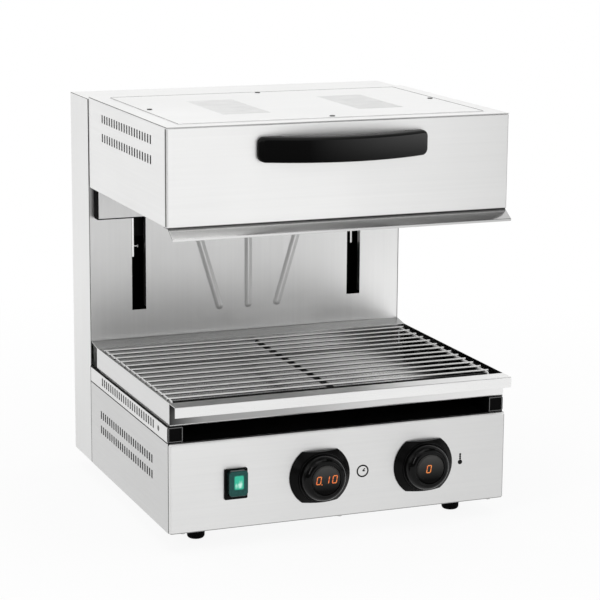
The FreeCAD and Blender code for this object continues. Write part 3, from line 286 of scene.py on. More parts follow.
def dress(node, finish_name, slot, edge_round=0.0, smooth_degrees=35.0, areas=(), reshape=None):
    """Smooth copy of a node with rounded edges, shown in the node's place.

    Each area is the name of a finish and a test of a face's middle and normal. The last test
    that holds gives a face its finish.
    """
    shape = merged(node)
    if reshape:
        reshape(shape)
    for index, (_, belongs) in enumerate(areas):
        for face in shape.faces:
            if belongs(face.calc_center_median(), face.normal):
                face.material_index = index + 1
    piece = new_piece(node + "_dressed", shape, finish_name, body_carrying(node), slot,
                      smooth_degrees)
    for area_finish, _ in areas:
        piece.data.materials.append(finish(area_finish))
    if edge_round:
        rounding = piece.modifiers.new("edge rounding", "BEVEL")
        rounding.width = edge_round
        rounding.segments = 2
        rounding.limit_method = "ANGLE"
        rounding.angle_limit = math.radians(smooth_degrees)
        rounding.use_clamp_overlap = True
    weighting = piece.modifiers.new("flat faces stay flat", "WEIGHTED_NORMAL")
    weighting.keep_sharp = True
    weighting.weight = 90
    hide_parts(node)


def dress_all(parts):
    """Dress each node of a table of finishes, slots and edge roundings."""
    for node, (finish_name, slot, edge_round) in parts.items():
        dress(node, finish_name, slot, edge_round)


def paint(node, finish_name):
    """Give a node of the frame its finish."""
    slots = frame["nodes"][node].data.materials
    slots.clear()
    slots.append(finish(finish_name))


def block(shape, low, high):
    """Block between two corners; its vertices."""
    low, high = Vector(low), Vector(high)
    made = bmesh.ops.create_cube(shape, size=1.0)["verts"]
    bmesh.ops.scale(shape, verts=made, vec=high - low)
    bmesh.ops.translate(shape, verts=made, vec=(low + high) / 2)
    return made


def paired_blocks(shape, inner, outer, low, high):
    """A block at each side of the machine, between two distances from its middle.

    The corners give the block's depth and height.
    """
    for side in (-1, 1):
        left, right = sorted((side * inner, side * outer))
        block(shape, (left, *low), (right, *high))


def turned(outline, centre, steps):
    """Outline of (radius, depth) turned round an axis along y; off the axis it closes itself."""
    shape = bmesh.new()
    ring = [shape.verts.new((centre.x + radius, depth, centre.z)) for radius, depth in outline]
    pairs = list(zip(ring, ring[1:]))
    if outline[0][0] > 0:
        pairs.append((ring[-1], ring[0]))
    for pair in pairs:
        shape.edges.new(pair)
    bmesh.ops.spin(shape, geom=shape.verts[:] + shape.edges[:], cent=centre,
                   axis=(0.0, 1.0, 0.0), angle=FULL_TURN, steps=steps, use_merge=True)
    bmesh.ops.remove_doubles(shape, verts=shape.verts, dist=1e-7)
    bmesh.ops.recalc_face_normals(shape, faces=shape.faces)
    return shape


# Finishes

class Finish:
    """Material built round one Principled shader with patterns on Object coordinates."""

    def __init__(self, name):
        self.material = bpy.data.materials.new(name)
        self.material.use_nodes = True
        self.tree = self.material.node_tree
        self.tree.nodes.clear()
        self.shader = self.add("ShaderNodeBsdfPrincipled")
        self.end = self.add("ShaderNodeOutputMaterial")
        self.join(self.shader.outputs["BSDF"], self.end.inputs["Surface"])
        self.place = self.add("ShaderNodeTexCoord").outputs["Object"]

    def add(self, kind, **settings):
        """New node with some of its settings."""
        made = self.tree.nodes.new(kind)
        for key, value in settings.items():
            setattr(made, key, value)
        return made

    def join(self, start, end):
        """Link two sockets."""
        self.tree.links.new(start, end)

    def plain(self, **values):
        """Values set on the shader itself; underscores stand for spaces."""
        for key, value in values.items():
            self.shader.inputs[key.replace("_", " ")].default_value = value
        return self

    def speckle(self, stretch, detail=3.0, roughness=0.5):
        """Noise with its frequency per metre, one for all axes or one for each."""
        if isinstance(stretch, float):
            stretch = (stretch, stretch, stretch)
        mapping = self.add("ShaderNodeMapping")
        mapping.inputs["Scale"].default_value = stretch
        self.join(self.place, mapping.inputs["Vector"])
        noise = self.add("ShaderNodeTexNoise")
        noise.inputs["Scale"].default_value = 1.0
        noise.inputs["Detail"].default_value = detail
        noise.inputs["Roughness"].default_value = roughness
        self.join(mapping.outputs["Vector"], noise.inputs["Vector"])
        return noise.outputs["Fac"]

    def along(self, axis):
        """The place along one axis."""
        split = self.add("ShaderNodeSeparateXYZ")
        self.join(self.place, split.inputs["Vector"])
        return split.outputs[axis]

    def product(self, first, second):
        """Two patterns multiplied."""
        made = self.add("ShaderNodeMath", operation="MULTIPLY")
        self.join(first, made.inputs[0])
        self.join(second, made.inputs[1])
        return made.outputs["Value"]

    def ranged(self, source, low, high, start=0.3, end=0.7):
        """A pattern's values brought between two numbers."""
        made = self.add("ShaderNodeMapRange")
        for name, value in (("From Min", start), ("From Max", end), ("To Min", low),
                            ("To Max", high)):
            made.inputs[name].default_value = value
        self.join(source, made.inputs["Value"])
        return made.outputs["Result"]

    def tinted(self, source, first, second, socket="Base Color"):
        """Blend of two colours by a pattern, led to one of the shader's sockets."""
        made = self.add("ShaderNodeMix", data_type="RGBA")
        made.inputs["A"].default_value = (*first, 1.0)
        made.inputs["B"].default_value = (*second, 1.0)
        self.join(source, made.inputs["Factor"])
        self.join(made.outputs["Result"], self.shader.inputs[socket])
        return made

    def painted_shading_along(self, source, stops, axis):
        """A colour multiplied by painted light and shade that change from stop to stop along an
        axis.
        """
        ramp = self.add("ShaderNodeValToRGB")
        first, last = stops[0][0], stops[-1][0]
        self.join(self.ranged(self.along(axis), 0.0, 1.0, first, last), ramp.inputs["Fac"])
        points = ramp.color_ramp.elements
        while len(points) < len(stops):
            points.new(0.5)
        for point, (stop, tone) in zip(points, stops):
            point.position = (stop - first) / (last - first)
            point.color = (tone, tone, tone, 1.0)
        blend = self.add("ShaderNodeMix", data_type="RGBA", blend_type="MULTIPLY")
        blend.inputs["Factor"].default_value = 1.0
        self.join(source, blend.inputs["A"])
        self.join(ramp.outputs["Color"], blend.inputs["B"])
        self.join(blend.outputs["Result"], self.shader.inputs["Base Color"])

    def rough(self, source, low, high):
        """Roughness that follows a pattern."""
        self.join(self.ranged(source, low, high), self.shader.inputs["Roughness"])

    def relief(self, source, depth, strength=1.0, under=None):
        """Bump of a given depth, over another bump if there is one."""
        made = self.add("ShaderNodeBump")
        made.inputs["Distance"].default_value = depth
        made.inputs["Strength"].default_value = strength
        self.join(source, made.inputs["Height"])
        if under is not None:
            self.join(under, made.inputs["Normal"])
        self.join(made.outputs["Normal"], self.shader.inputs["Normal"])
        return made.outputs["Normal"]


def grey(level):
    """Neutral colour."""
    return (level, level, level)


def scaled(colour, factor):
    """Colour made lighter or darker, never above white."""
    return tuple(min(1.0, channel * factor) for channel in colour)


def brushed_steel(name, colour, roughness, grain, painted_shading):
    """Satin steel with fine brush lines along an axis and a faint unevenness of the sheet.

    The painted shading is light, shade and reflection painted along the grain, as pairs of a
    place and a factor.
    """
    made = Finish(name).plain(Metallic=1.0, IOR=2.5)
    lines = made.speckle(tuple(14.0 if axis == grain else 1500.0 for axis in "XYZ"),
                         detail=4.0, roughness=0.65)
    bands = made.speckle(tuple(3.0 if axis == grain else 260.0 for axis in "XYZ"), detail=2.0)
    cloud = made.speckle(5.0, detail=2.0)
    mixed = made.add("ShaderNodeMath", operation="MULTIPLY_ADD")
    made.join(bands, mixed.inputs[0])
    mixed.inputs[1].default_value = 0.5
    made.join(cloud, mixed.inputs[2])
    blend = made.tinted(made.ranged(mixed.outputs["Value"], 0.0, 1.0, 0.45, 1.05),
                        scaled(colour, 0.96), scaled(colour, 1.03))
    if painted_shading:
        made.painted_shading_along(blend.outputs["Result"], painted_shading, grain)
    made.rough(lines, roughness - 0.05, roughness + 0.07)
    wave = made.relief(made.speckle(7.0, detail=1.0), 0.00012)
    made.relief(lines, 0.000012, 0.5, under=wave)


def plated_wire(name):
    """Bright plated wire with a slightly uneven skin."""
    made = Finish(name).plain(Metallic=0.15)
    skin = made.speckle((260.0, 900.0, 900.0))
    made.tinted(made.speckle(28.0), (0.88, 0.88, 0.87), (0.98, 0.98, 0.97))
    made.rough(skin, 0.10, 0.22)
    made.relief(skin, 0.00002, 0.5)


def zinc_plate(name, colour):
    """Dull zinc plating with a fine crystalline mottle."""
    made = Finish(name).plain(Metallic=1.0)
    grain = made.speckle(700.0, detail=4.0)
    made.tinted(made.speckle(60.0), scaled(colour, 0.85), scaled(colour, 1.1))
    made.rough(grain, 0.32, 0.5)
    made.relief(grain, 0.00002, 0.4)


def moulded_plastic(name, colour, roughness, shine, grain_depth=0.00004):
    """Moulded plastic with a fine eroded texture and faint flow clouds."""
    made = Finish(name).plain(Metallic=0.0, IOR=1.5, Specular_IOR_Level=shine)
    erosion = made.speckle(1600.0)
    made.tinted(made.speckle(45.0), scaled(colour, 0.8), scaled(colour, 1.25))
    made.rough(erosion, roughness - 0.05, roughness + 0.06)
    made.relief(erosion, grain_depth, 0.35)


def painted_light_handle_plastic(name, low, high):
    """Black handle moulding with painted light: lighter towards its right end and its top."""
    made = Finish(name).plain(Metallic=0.0, IOR=1.5, Specular_IOR_Level=0.02)
    across = made.ranged(made.along("X"), 0.04, 1.0, low.x * 0.5, high.x)
    up = made.ranged(made.along("Z"), 0.25, 1.0, low.z, high.z)
    made.tinted(made.product(across, up), grey(0.0015), grey(0.085))
    erosion = made.speckle(1600.0)
    made.rough(erosion, 0.24, 0.34)
    made.relief(erosion, 0.00003, 0.3)


def painted_black(name):
    """Powder coat with a fine orange peel."""
    made = Finish(name).plain(Metallic=0.0, Specular_IOR_Level=0.1)
    peel = made.speckle(420.0, detail=2.0)
    made.tinted(made.speckle(30.0), grey(0.002), grey(0.004))
    made.rough(peel, 0.5, 0.65)
    made.relief(peel, 0.00006, 0.4)


def soft_rubber(name):
    """Matt rubber with dusty mottling."""
    made = Finish(name).plain(Metallic=0.0, IOR=1.45, Specular_IOR_Level=0.04)
    dust = made.speckle(220.0, detail=4.0)
    made.tinted(dust, grey(0.002), grey(0.005))
    made.rough(dust, 0.62, 0.8)
    made.relief(dust, 0.00005, 0.5)


def display_glass(name, centre_z):
    """Smoked display cover with a painted sheen, a little lighter towards its top."""
    made = Finish(name).plain(Metallic=0.0, IOR=1.5, Specular_IOR_Level=0.03)
    painted_sheen = made.ranged(made.along("Z"), 0.0, 1.0, centre_z - 0.014, centre_z + 0.020)
    made.tinted(painted_sheen, grey(0.003), (0.075, 0.074, 0.072))
    made.rough(made.speckle(900.0), 0.22, 0.32)


def lit_figures(name, colour):
    """Glowing display bars, brighter in places."""
    made = Finish(name).plain(Base_Color=(0.02, 0.004, 0.001, 1.0), Roughness=0.4,
                              Emission_Strength=1.0)
    glow = made.speckle((420.0, 420.0, 260.0), detail=1.0)
    made.tinted(made.ranged(glow, 0.0, 1.0), colour, (0.90, 0.32, 0.06), "Emission Color")


def heated_tube(name):
    """Heater tube dulled to grey brown by use."""
    made = Finish(name).plain(Metallic=0.7)
    patches = made.speckle((22.0, 60.0, 60.0), detail=4.0)
    made.tinted(made.ranged(patches, 0.0, 1.0), (0.060, 0.052, 0.046), (0.17, 0.14, 0.12))
    made.rough(patches, 0.42, 0.62)
    made.relief(made.speckle(500.0), 0.00005, 0.5)


def circuit_board(name):
    """Solder resist with copper tracks showing through."""
    made = Finish(name).plain(Metallic=0.0, Roughness=0.35)
    tracks = made.speckle((300.0, 300.0, 90.0), detail=0.0)
    made.tinted(made.ranged(tracks, 0.0, 1.0, 0.48, 0.52), (0.010, 0.085, 0.028),
                (0.020, 0.16, 0.055))
    made.relief(tracks, 0.00004, 0.4)


def splash_silicone(name, centre, colour):
    """Teal silicone of the switch cover, lit from behind at its middle."""
    made = Finish(name).plain(Metallic=0.0, IOR=1.42, Roughness=0.16, Specular_IOR_Level=0.15)
    cloud = made.speckle(420.0)
    made.tinted(cloud, (0.010, 0.055, 0.047), (0.028, 0.11, 0.10))
    glow, soft_edge = None, 0.0028
    for axis, middle_at, half in (("X", centre.x, 0.0070), ("Z", centre.z + 0.0018, 0.0098)):
        for side in (-1, 1):
            edge = middle_at + side * half
            part = made.ranged(made.along(axis), 0.0, 1.0, edge, edge - side * soft_edge)
            glow = made.product(glow, part) if glow else part
    ripple = made.ranged(made.speckle((90.0, 90.0, 60.0)), 0.25, 1.0, 0.35, 0.62)
    made.tinted(made.ranged(made.product(glow, ripple), 0.0, 1.0, 0.45, 1.0), colour,
                (0.80, 1.0, 0.92), "Emission Color")
    made.join(made.ranged(glow, 0.0, 1.0, 0.0, 0.55), made.shader.inputs["Emission Strength"])
    made.relief(cloud, 0.0002, 0.3)


def lit_rocker(name, centre, colour):
    """Green rocker that glows at its middle."""
    made = Finish(name).plain(Metallic=0.0, Roughness=0.25)
    width, height = 0.0085, 0.0085 * 1.35
    mapping = made.add("ShaderNodeMapping")
    mapping.inputs["Location"].default_value = (-centre.x / width, 0.0, -centre.z / height)
    mapping.inputs["Scale"].default_value = (1 / width, 0.0, 1 / height)
    made.join(made.place, mapping.inputs["Vector"])
    globe = made.add("ShaderNodeTexGradient", gradient_type="QUADRATIC_SPHERE")
    made.join(mapping.outputs["Vector"], globe.inputs["Vector"])
    made.tinted(made.speckle(420.0, detail=2.0), (0.02, 0.13, 0.10), (0.04, 0.20, 0.16))
    made.tinted(globe.outputs["Fac"], colour, (0.85, 1.0, 0.93), "Emission Color")
    made.join(made.ranged(globe.outputs["Fac"], 0.0, 1.6, 0.0, 0.55),
              made.shader.inputs["Emission Strength"])


def printed_ink(name):
    """Black screen print, slightly uneven."""
    made = Finish(name).plain(Metallic=0.0, Roughness=0.5, Specular_IOR_Level=0.1)
    made.tinted(made.speckle(800.0), grey(0.004), grey(0.012))


# Brushed steels: share of the steel's colour, change of roughness, grain, and tones along it.
# The lower shares of the base's and the tray's sides, the edges, folds, beads and ledges are
# painted shade; the bright sheet is polished, and painted lighter for the arms in shade; the
# tones are painted light, shade and reflection along the fronts, the lip, the column and the tray
STEELS = {
    "shaded_base_side_steel": (0.75, 0.0, "Y", ()),
    "strip_steel": (0.92, 0.0, "Y", ()),
    "tray_steel": (1.0, -0.06, "X", ()),
    "shaded_tray_side_steel": (0.86, 0.0, "Y", ()),
    "shaded_ledge_steel": (0.42, -0.08, "X", ()),
    "hood_side_steel": (1.03, 0.0, "Y", ()),
    "hood_top_steel": (1.02, 0.02, "X", ()),
    "shaded_edge_steel": (0.30, -0.05, "X", ()),
    "dark_shaded_edge_steel": (0.12, -0.05, "X", ()),
    "shaded_fold_steel": (0.60, -0.05, "X", ()),
    "carriage_steel": (0.90, 0.0, "Z", ()),
    "back_steel": (0.92, 0.04, "X", ()),
    "bright_sheet": (1.12, -0.14, "Z", ()),
    "reflector_steel": (0.80, -0.11, "X", ()),
    # Painted light on the fronts and painted reflection on the lip, lighter at the left
    "hood_front_painted_light_steel": (1.1, 0.0, "X", ((-0.24, 1.0), (0.0, 0.95), (0.24, 0.76))),
    "lip_painted_reflection_steel": (0.70, -0.2, "X", ((-0.24, 1.36), (0.0, 1.08), (0.24, 0.88))),
    "base_front_painted_light_steel": (0.96, 0.0, "X", ((-0.24, 0.98), (0.0, 0.91), (0.24, 0.82))),
    # Painted light on the column's front and beads low down, painted shade on its side low down
    "column_front_painted_light_steel": (
        0.90, -0.02, "Z", ((0.19, 1.16), (0.26, 1.14), (0.33, 1.02), (0.42, 1.0))),
    "shaded_bead_steel": (0.79, 0.2, "Z", ((0.19, 1.25), (0.26, 1.2), (0.33, 1.03), (0.42, 1.0))),
    "column_side_painted_shade_steel": (1.0, 0.02, "Z", ((0.02, 0.87), (0.12, 0.91), (0.30, 1.0))),
    # Painted light, shade and reflection across the tray's floor; painted shade on its front and
    # ledge
    "tray_floor_painted_light_steel": (
        0.84, -0.16, "X", ((-0.22, 0.46), (0.0, 0.42), (0.07, 0.62), (0.12, 1.1), (0.15, 0.9),
                           (0.18, 0.08), (0.22, 0.02))),
    "shaded_tray_front_steel": (
        1.0, 0.0, "X", ((-0.236, 0.05), (-0.19, 0.4), (-0.08, 0.5), (0.05, 0.8), (0.22, 1.0))),
    "front_shaded_ledge_steel": (
        1.0, 0.0, "X", ((-0.236, 0.6), (-0.08, 0.66), (0.05, 0.88), (0.22, 1.0))),
}
# Zinc platings; the near-black ones on the rods and in the joints are painted shade, and the dark
# zinc is the screws' own colour and painted shade on the runners
ZINCS = {
    "zinc_plate": (0.58, 0.59, 0.60), "painted_wire_shade": grey(0.02), "dark_zinc": grey(0.09),
    "screw_plate": (0.66, 0.66, 0.65), "joint_shadow": grey(0.05),
}
# Plastics and coatings: colour, roughness and shine. The folds, the tray's bend and the right
# side wire are painted light, the handle's top a painted sheen and the cover's walls painted shade
PLASTICS = {
    "painted_light_fold": ((0.78, 0.78, 0.775), 0.4, 0.5),
    "painted_light_tray_bend": ((0.42, 0.42, 0.415), 0.4, 0.5),
    "painted_light_side_wire": ((0.80, 0.80, 0.795), 0.25, 0.6),
    "handle_top_painted_sheen": (grey(0.010), 0.35, 0.05),
    "slide_plastic": ((0.72, 0.72, 0.70), 0.5, 0.5),
    "painted_shade_cover_wall": ((0.004, 0.014, 0.013), 0.2, 0.3),
}


def make_finishes():
    """Make all finishes."""
    look = bpy.context.scene.melter_finish
    for name, (share, change, grain, painted_shading) in STEELS.items():
        brushed_steel(name, scaled(look.steel, share), look.steel_roughness + change, grain, painted_shading)
    for name, colour in ZINCS.items():
        zinc_plate(name, colour)
    for name, (colour, roughness, shine) in PLASTICS.items():
        moulded_plastic(name, colour, roughness, shine)
    moulded_plastic("black_moulding", look.satin_black, 0.42, 0.07)
    moulded_plastic("deep_black", look.satin_black, 0.3, 0.03)
    # Light grey rims for the black plugs: painted highlights
    moulded_plastic("plug_rim_painted_highlight", scaled(look.satin_black, 60.0), 0.25, 0.5)
    moulded_plastic("knob_gloss", look.gloss_black, 0.10, 0.12, 0.00001)
    moulded_plastic("knob_satin", look.gloss_black, 0.25, 0.06, 0.00003)
    painted_light_handle_plastic("painted_light_handle_plastic", *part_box("handle"))
    plated_wire("wire_plating")
    painted_black("black_paint")
    soft_rubber("rubber")
    display_glass("smoked_face_painted_sheen", middle("timer_display").z)
    lit_figures("lit_figures", tuple(look.figure_orange))
    heated_tube("heated_tube")
    circuit_board("circuit_board")
    splash_silicone("splash_silicone", middle("switch_cover"), tuple(look.lamp_green))
    lit_rocker("rocker_glow", middle("rocker"), tuple(look.lamp_green))
    printed_ink("printed_ink")


def finish(name):
    """A finish made earlier."""
    return bpy.data.materials[name]


# Operators

class MelterFinishes(bpy.types.Operator):
    """Make the finishes that all pieces share."""
    bl_idname = "melter.finishes"
    bl_label = "Finishes"

    def execute(self, context):
        make_finishes()
        return {"FINISHED"}


def tray_areas():
    """Finishes of painted light and shade for the tray's floor, walls and ledges, each with a test
    of where it goes.
    """
    low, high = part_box("crumb_tray")
    floor, rim, flank = low.z + 0.0005, high.z - 0.009, high.x - 0.0004
    return (
        # Painted shade on the sides, ledges and front wall, painted light and shade on the floor,
        # and painted light on the bend at the back
        ("shaded_tray_side_steel", lambda place, normal: abs(normal.x) > 0.9 and abs(place.x) > flank),
        ("shaded_ledge_steel",
         lambda place, normal: normal.z > 0.5 and place.y > high.y - 0.03 and place.z > rim),
        ("front_shaded_ledge_steel",
         lambda place, normal: normal.z > 0.5 and place.y < 0 and place.z > rim),
        ("tray_floor_painted_light_steel", lambda place, normal: floor < place.z < rim and normal.z > 0.5),
        ("tray_floor_painted_light_steel",
         lambda place, normal: abs(normal.z) < 0.5 and abs(place.x) < flank
         and (place.x * normal.x < 0 or normal.y > 0.5 and place.y < 0)),
        ("shaded_tray_front_steel",
         lambda place, normal: normal.y < -0.9 and low.y + 0.01 < place.y < 0),
        ("painted_light_tray_bend",
         lambda place, normal: 0.02 < normal.z < 0.98 and place.y > 0.05
         and place.z < floor + 0.009),
    )


class MelterSheets(bpy.types.Operator):
    """Dress the brushed steel sheets with rounded edges."""
    bl_idname = "melter.sheets"
    bl_label = "Steel sheets"

    def execute(self, context):
        edge = context.scene.melter_finish.edge_round
        for node, finish_name in SHEETS.items():
            dress(node, finish_name, "steel_sheet", edge, areas=AREAS.get(node, ()))
        dress("crumb_tray", "tray_steel", "steel_sheet", edge, areas=tray_areas())
        # The arms and their pin are polished steel, painted lighter where they lie in shade
        for node in ("carriage_arms", "arm_pin"):
            dress(node, "bright_sheet", "bright_steel", edge)
        return {"FINISHED"}


class MelterInside(bpy.types.Operator):
    """Finish the parts that lie inside the machine."""
    bl_idname = "melter.inside"
    bl_label = "Inner parts"

    def execute(self, context):
        for node, finish_name in HIDDEN_PARTS.items():
            paint(node, finish_name)
        dress_all(INNER_PARTS)
        return {"FINISHED"}


class MelterHeating(bpy.types.Operator):
    """Dress the reflector, its elements and their hangers, and the struts' rods."""
    bl_idname = "melter.heating"
    bl_label = "Heating"

    def execute(self, context):
        dress_all(HEATING_PARTS)
        return {"FINISHED"}


def islands(shape):
    """Groups of vertices that hang together."""
    left = set(shape.verts)
    while left:
        group, waiting = [], [left.pop()]
        while waiting:
            vert = waiting.pop()
            group.append(vert)
            for edge in vert.link_edges:
                other = edge.other_vert(vert)
                if other in left:
                    left.remove(other)
                    waiting.append(other)
        yield group


def slim_rods(shape):
    """Draw the rods thinner, still on their wires, and the side wires thinner and higher."""
    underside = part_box("wire_grid")[1].z - ROD_THICKNESS
    for group in list(islands(shape)):
        middle_y = sum(vert.co.y for vert in group) / len(group)
        middle_x = sum(vert.co.x for vert in group) / len(group)
        if min(vert.co.z for vert in group) > underside - 0.0001:
            bmesh.ops.scale(shape, verts=group, vec=(1.0, ROD_SHARE, ROD_SHARE),
                            space=Matrix.Translation((0.0, -middle_y, -underside)))
        elif abs(middle_x) > 0.1:
            bmesh.ops.scale(shape, verts=group, vec=(WIRE_SHARE, 1.0, 1.0),
                            space=Matrix.Translation((-middle_x, 0.0, 0.0)))
            if abs(middle_x) > SIDE_WIRE_X:
                bmesh.ops.translate(shape, verts=group, vec=(0.0, 0.0, SIDE_WIRE_RISE))


class MelterGrid(bpy.types.Operator):
    """Dress the wire grid."""
    bl_idname = "melter.grid"
    bl_label = "Wire grid"

    def execute(self, context):
        rods_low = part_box("wire_grid")[1].z - ROD_THICKNESS
        # Painted shade on the rods' undersides and the middle wire, painted light on the right side
        # wire
        dress("wire_grid", "wire_plating", "plated_wire", 0.0, 50.0, reshape=slim_rods, areas=(
            ("painted_wire_shade", lambda place, normal: (
                normal.z < -0.05 and abs(normal.x) < 0.3 and place.z > rods_low)),
            ("painted_wire_shade", lambda place, normal: place.z < rods_low and abs(place.x) < 0.005),
            ("painted_light_side_wire", lambda place, normal: (
                place.z < rods_low and place.x > SIDE_WIRE_X and normal.z > -0.3))))
        return {"FINISHED"}


def moulded_handle(sizes):
    """Bowed bar with rounded corners; its ends reach back to the hood and leave a finger gap."""
    low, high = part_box("handle")
    half = (high.x - low.x) / 2
    gap = half - sizes.foot_length
    shape = bmesh.new()
    block(shape, low, high)
    corners = [edge for edge in shape.edges
               if abs(edge.verts[0].co.y - edge.verts[1].co.y) > sizes.thickness]
    bmesh.ops.bevel(shape, geom=corners, offset=sizes.corner, segments=6, profile=0.5,
                    affect="EDGES", material=-1)
    slices, slope = 12, 0.003
    places = [half * 0.9 * (i / slices) for i in range(-slices, slices + 1)]
    places += [-gap, gap, slope - gap, gap - slope]
    for x in places:
        bmesh.ops.bisect_plane(shape, geom=shape.verts[:] + shape.edges[:] + shape.faces[:],
                               plane_co=(x, 0.0, 0.0), plane_no=(1.0, 0.0, 0.0), dist=1e-6)
    middle_y = (low.y + high.y) / 2
    for vert in shape.verts:
        front = low.y + (high.y - low.y - sizes.end_depth) * (vert.co.x / half) ** 2
        if vert.co.y < middle_y:
            vert.co.y = front
        elif abs(vert.co.x) < gap - slope + 0.0001:
            vert.co.y = front + sizes.thickness
    shape.normal_update()
    rim = [edge for edge in shape.edges if len(edge.link_faces) == 2
           and min(face.normal.y for face in edge.link_faces) < -0.6
           and max(face.normal.y for face in edge.link_faces) > -0.3]
    bmesh.ops.bevel(shape, geom=rim, offset=sizes.rounding, segments=5, profile=0.5,
                    affect="EDGES", material=-1, clamp_overlap=True)
    bmesh.ops.recalc_face_normals(shape, faces=shape.faces)
    return shape


def square_rim_highlights(node, width):
    """Light square frames on the front faces of the two plugs of a node: painted highlights."""
    low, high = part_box(node)
    inset, proud = 0.0012, 0.0002
    half = (high.z - low.z) / 2 - inset
    reach = half * math.sqrt(2)
    shape = bmesh.new()
    for x in (low.x + half + inset, high.x - half - inset):
        centre = Vector((x, low.y, (low.z + high.z) / 2))
        rim = turned([(reach, low.y + proud), (reach, low.y - proud),
                      (reach - width, low.y - proud), (reach - width, low.y + proud)], centre, 4)
        bmesh.ops.rotate(rim, verts=rim.verts, cent=centre,
                         matrix=Matrix.Rotation(math.pi / 4, 3, "Y"))
        spare = bpy.data.meshes.new("rim")
        rim.to_mesh(spare)
        rim.free()
        shape.from_mesh(spare)
        bpy.data.meshes.remove(spare)
    return shape


class MelterBlackParts(bpy.types.Operator):
    """Make the handle and the plugs' painted rim highlights; dress plugs, seal, feet and gland."""
    bl_idname = "melter.black_parts"
    bl_label = "Black parts"

    def execute(self, context):
        grip = new_piece("handle_moulded", moulded_handle(context.scene.melter_handle),
                         "painted_light_handle_plastic", "hood", "black_plastic", 60.0)
        # The handle's top faces get a painted sheen
        grip.data.materials.append(finish("handle_top_painted_sheen"))
        for face in grip.data.polygons:
            if face.normal.z > 0.3:
                face.material_index = 1
        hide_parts("handle")
        dress("runner_plugs", "deep_black", "black_plastic", 0.0004)
        # Light frames on the plugs as painted highlights round their recesses
        new_piece("plug_rim_painted_highlights", square_rim_highlights("runner_plugs", 0.0011), "plug_rim_painted_highlight", "base",
                  "black_plastic")
        dress_all(BLACK_PARTS)
        return {"FINISHED"}


class MelterJointShade(bpy.types.Operator):
    """Make the dark strips that paint shade in the joints between the sheets."""
    bl_idname = "melter.seals"
    bl_label = "Joint shade"

    def execute(self, context):
        side_low, side_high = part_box("base_side_left")
        strip_low, strip_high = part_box("vent_strip_left")
        panel_low, panel_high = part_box("base_front_panel")
        tray_high, column_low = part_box("crumb_tray")[1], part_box("column_side_left")[0]
        flank = (-side_low.x - JOINT_SHADE_DEPTH, -side_low.x + JOINT_SHADE_PROUD)
        shape = bmesh.new()
        for low_z, high_z in ((strip_low.z - 0.0011, strip_low.z + 0.00033),
                              (strip_high.z - 0.00066, strip_high.z + 0.00088)):
            paired_blocks(shape, *flank, (strip_low.y, low_z), (side_high.y, high_z))
        paired_blocks(shape, *flank, (panel_low.y + 0.0046, panel_low.z + 0.0015),
                      (panel_low.y + 0.0062, panel_high.z - 0.0004))
        paired_blocks(shape, *flank, (side_high.y - 0.0005, side_low.z + 0.0004),
                      (side_high.y + 0.0006, strip_high.z - 0.0004))
        paired_blocks(shape, tray_high.x - 0.0024, tray_high.x - 0.0002,
                      (tray_high.y + 0.0004, strip_high.z + 0.0004),
                      (column_low.y - 0.0003, tray_high.z - 0.0006))
        new_piece("base_joint_shade", shape, "rubber", "base", "black_rubber")
        shape = bmesh.new()
        low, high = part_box("hood_front_panel")
        paired_blocks(shape, high.x - 0.0008, high.x + 0.0001,
                      (low.y + 0.0021, low.z + 0.0016), (low.y + 0.0068, high.z - 0.0016))
        low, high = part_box("hood_cover_plate")
        under, over, inset = high.z - 0.0002, high.z + 0.00008, 0.0004
        block(shape, (low.x + inset, high.y - 0.0022, under),
              (high.x - inset, high.y - 0.0002, over))
        block(shape, (high.x - 0.0020, low.y + inset, under),
              (high.x - inset, high.y - 0.0022, over))
        new_piece("hood_joint_shade", shape, "joint_shadow", "hood", "black_rubber")
        return {"FINISHED"}


class MelterScrews(bpy.types.Operator):
    """Dress the screw heads."""
    bl_idname = "melter.screws"
    bl_label = "Screws"

    def execute(self, context):
        dress_all(SCREWS)
        return {"FINISHED"}


class MelterSwitch(bpy.types.Operator):
    """Dress the mains switch, its rocker and its splash cover."""
    bl_idname = "melter.switch"
    bl_label = "Switch"

    def execute(self, context):
        dress_all(SWITCH_PARTS)
        # The cover's walls get painted shade
        dress("switch_cover", "splash_silicone", "clear_cover",
              areas=(("painted_shade_cover_wall", lambda _, normal: abs(normal.y) < 0.5),))
        return {"FINISHED"}


# Sections of a ring and of a display, as radius and depth in mm; depths count from the back of
# the disc, and forwards is negative
RING_SECTION = (
    (20.05, -8.8), (32.4, -8.8), (32.8, -9.2), (32.8, -10.6), (32.6, -10.95), (32.2, -10.95),
    (31.9, -10.5), (31.7, -9.9), (30.9, -9.9), (30.7, -10.5), (30.6, -12.0), (30.4, -14.5),
    (29.9, -17.2), (28.9, -20.0), (27.4, -22.4), (25.6, -24.1), (24.2, -24.9), (23.2, -25.2),
    (22.5, -25.1), (22.1, -24.7), (21.7, -24.7), (21.3, -25.1), (20.8, -25.2), (20.3, -24.9),
    (20.05, -24.3),
)
DISPLAY_SECTION = (
    (5.5, -8.5), (19.75, -8.5), (19.75, -23.9), (19.4, -24.1), (18.6, -24.1), (18.4, -24.5),
    (18.35, -25.3), (18.1, -25.65), (17.7, -25.8),
)


def section(points, start):
    """Section in metres on the machine's own depth axis."""
    return [(radius / 1000, start + depth / 1000) for radius, depth in points]


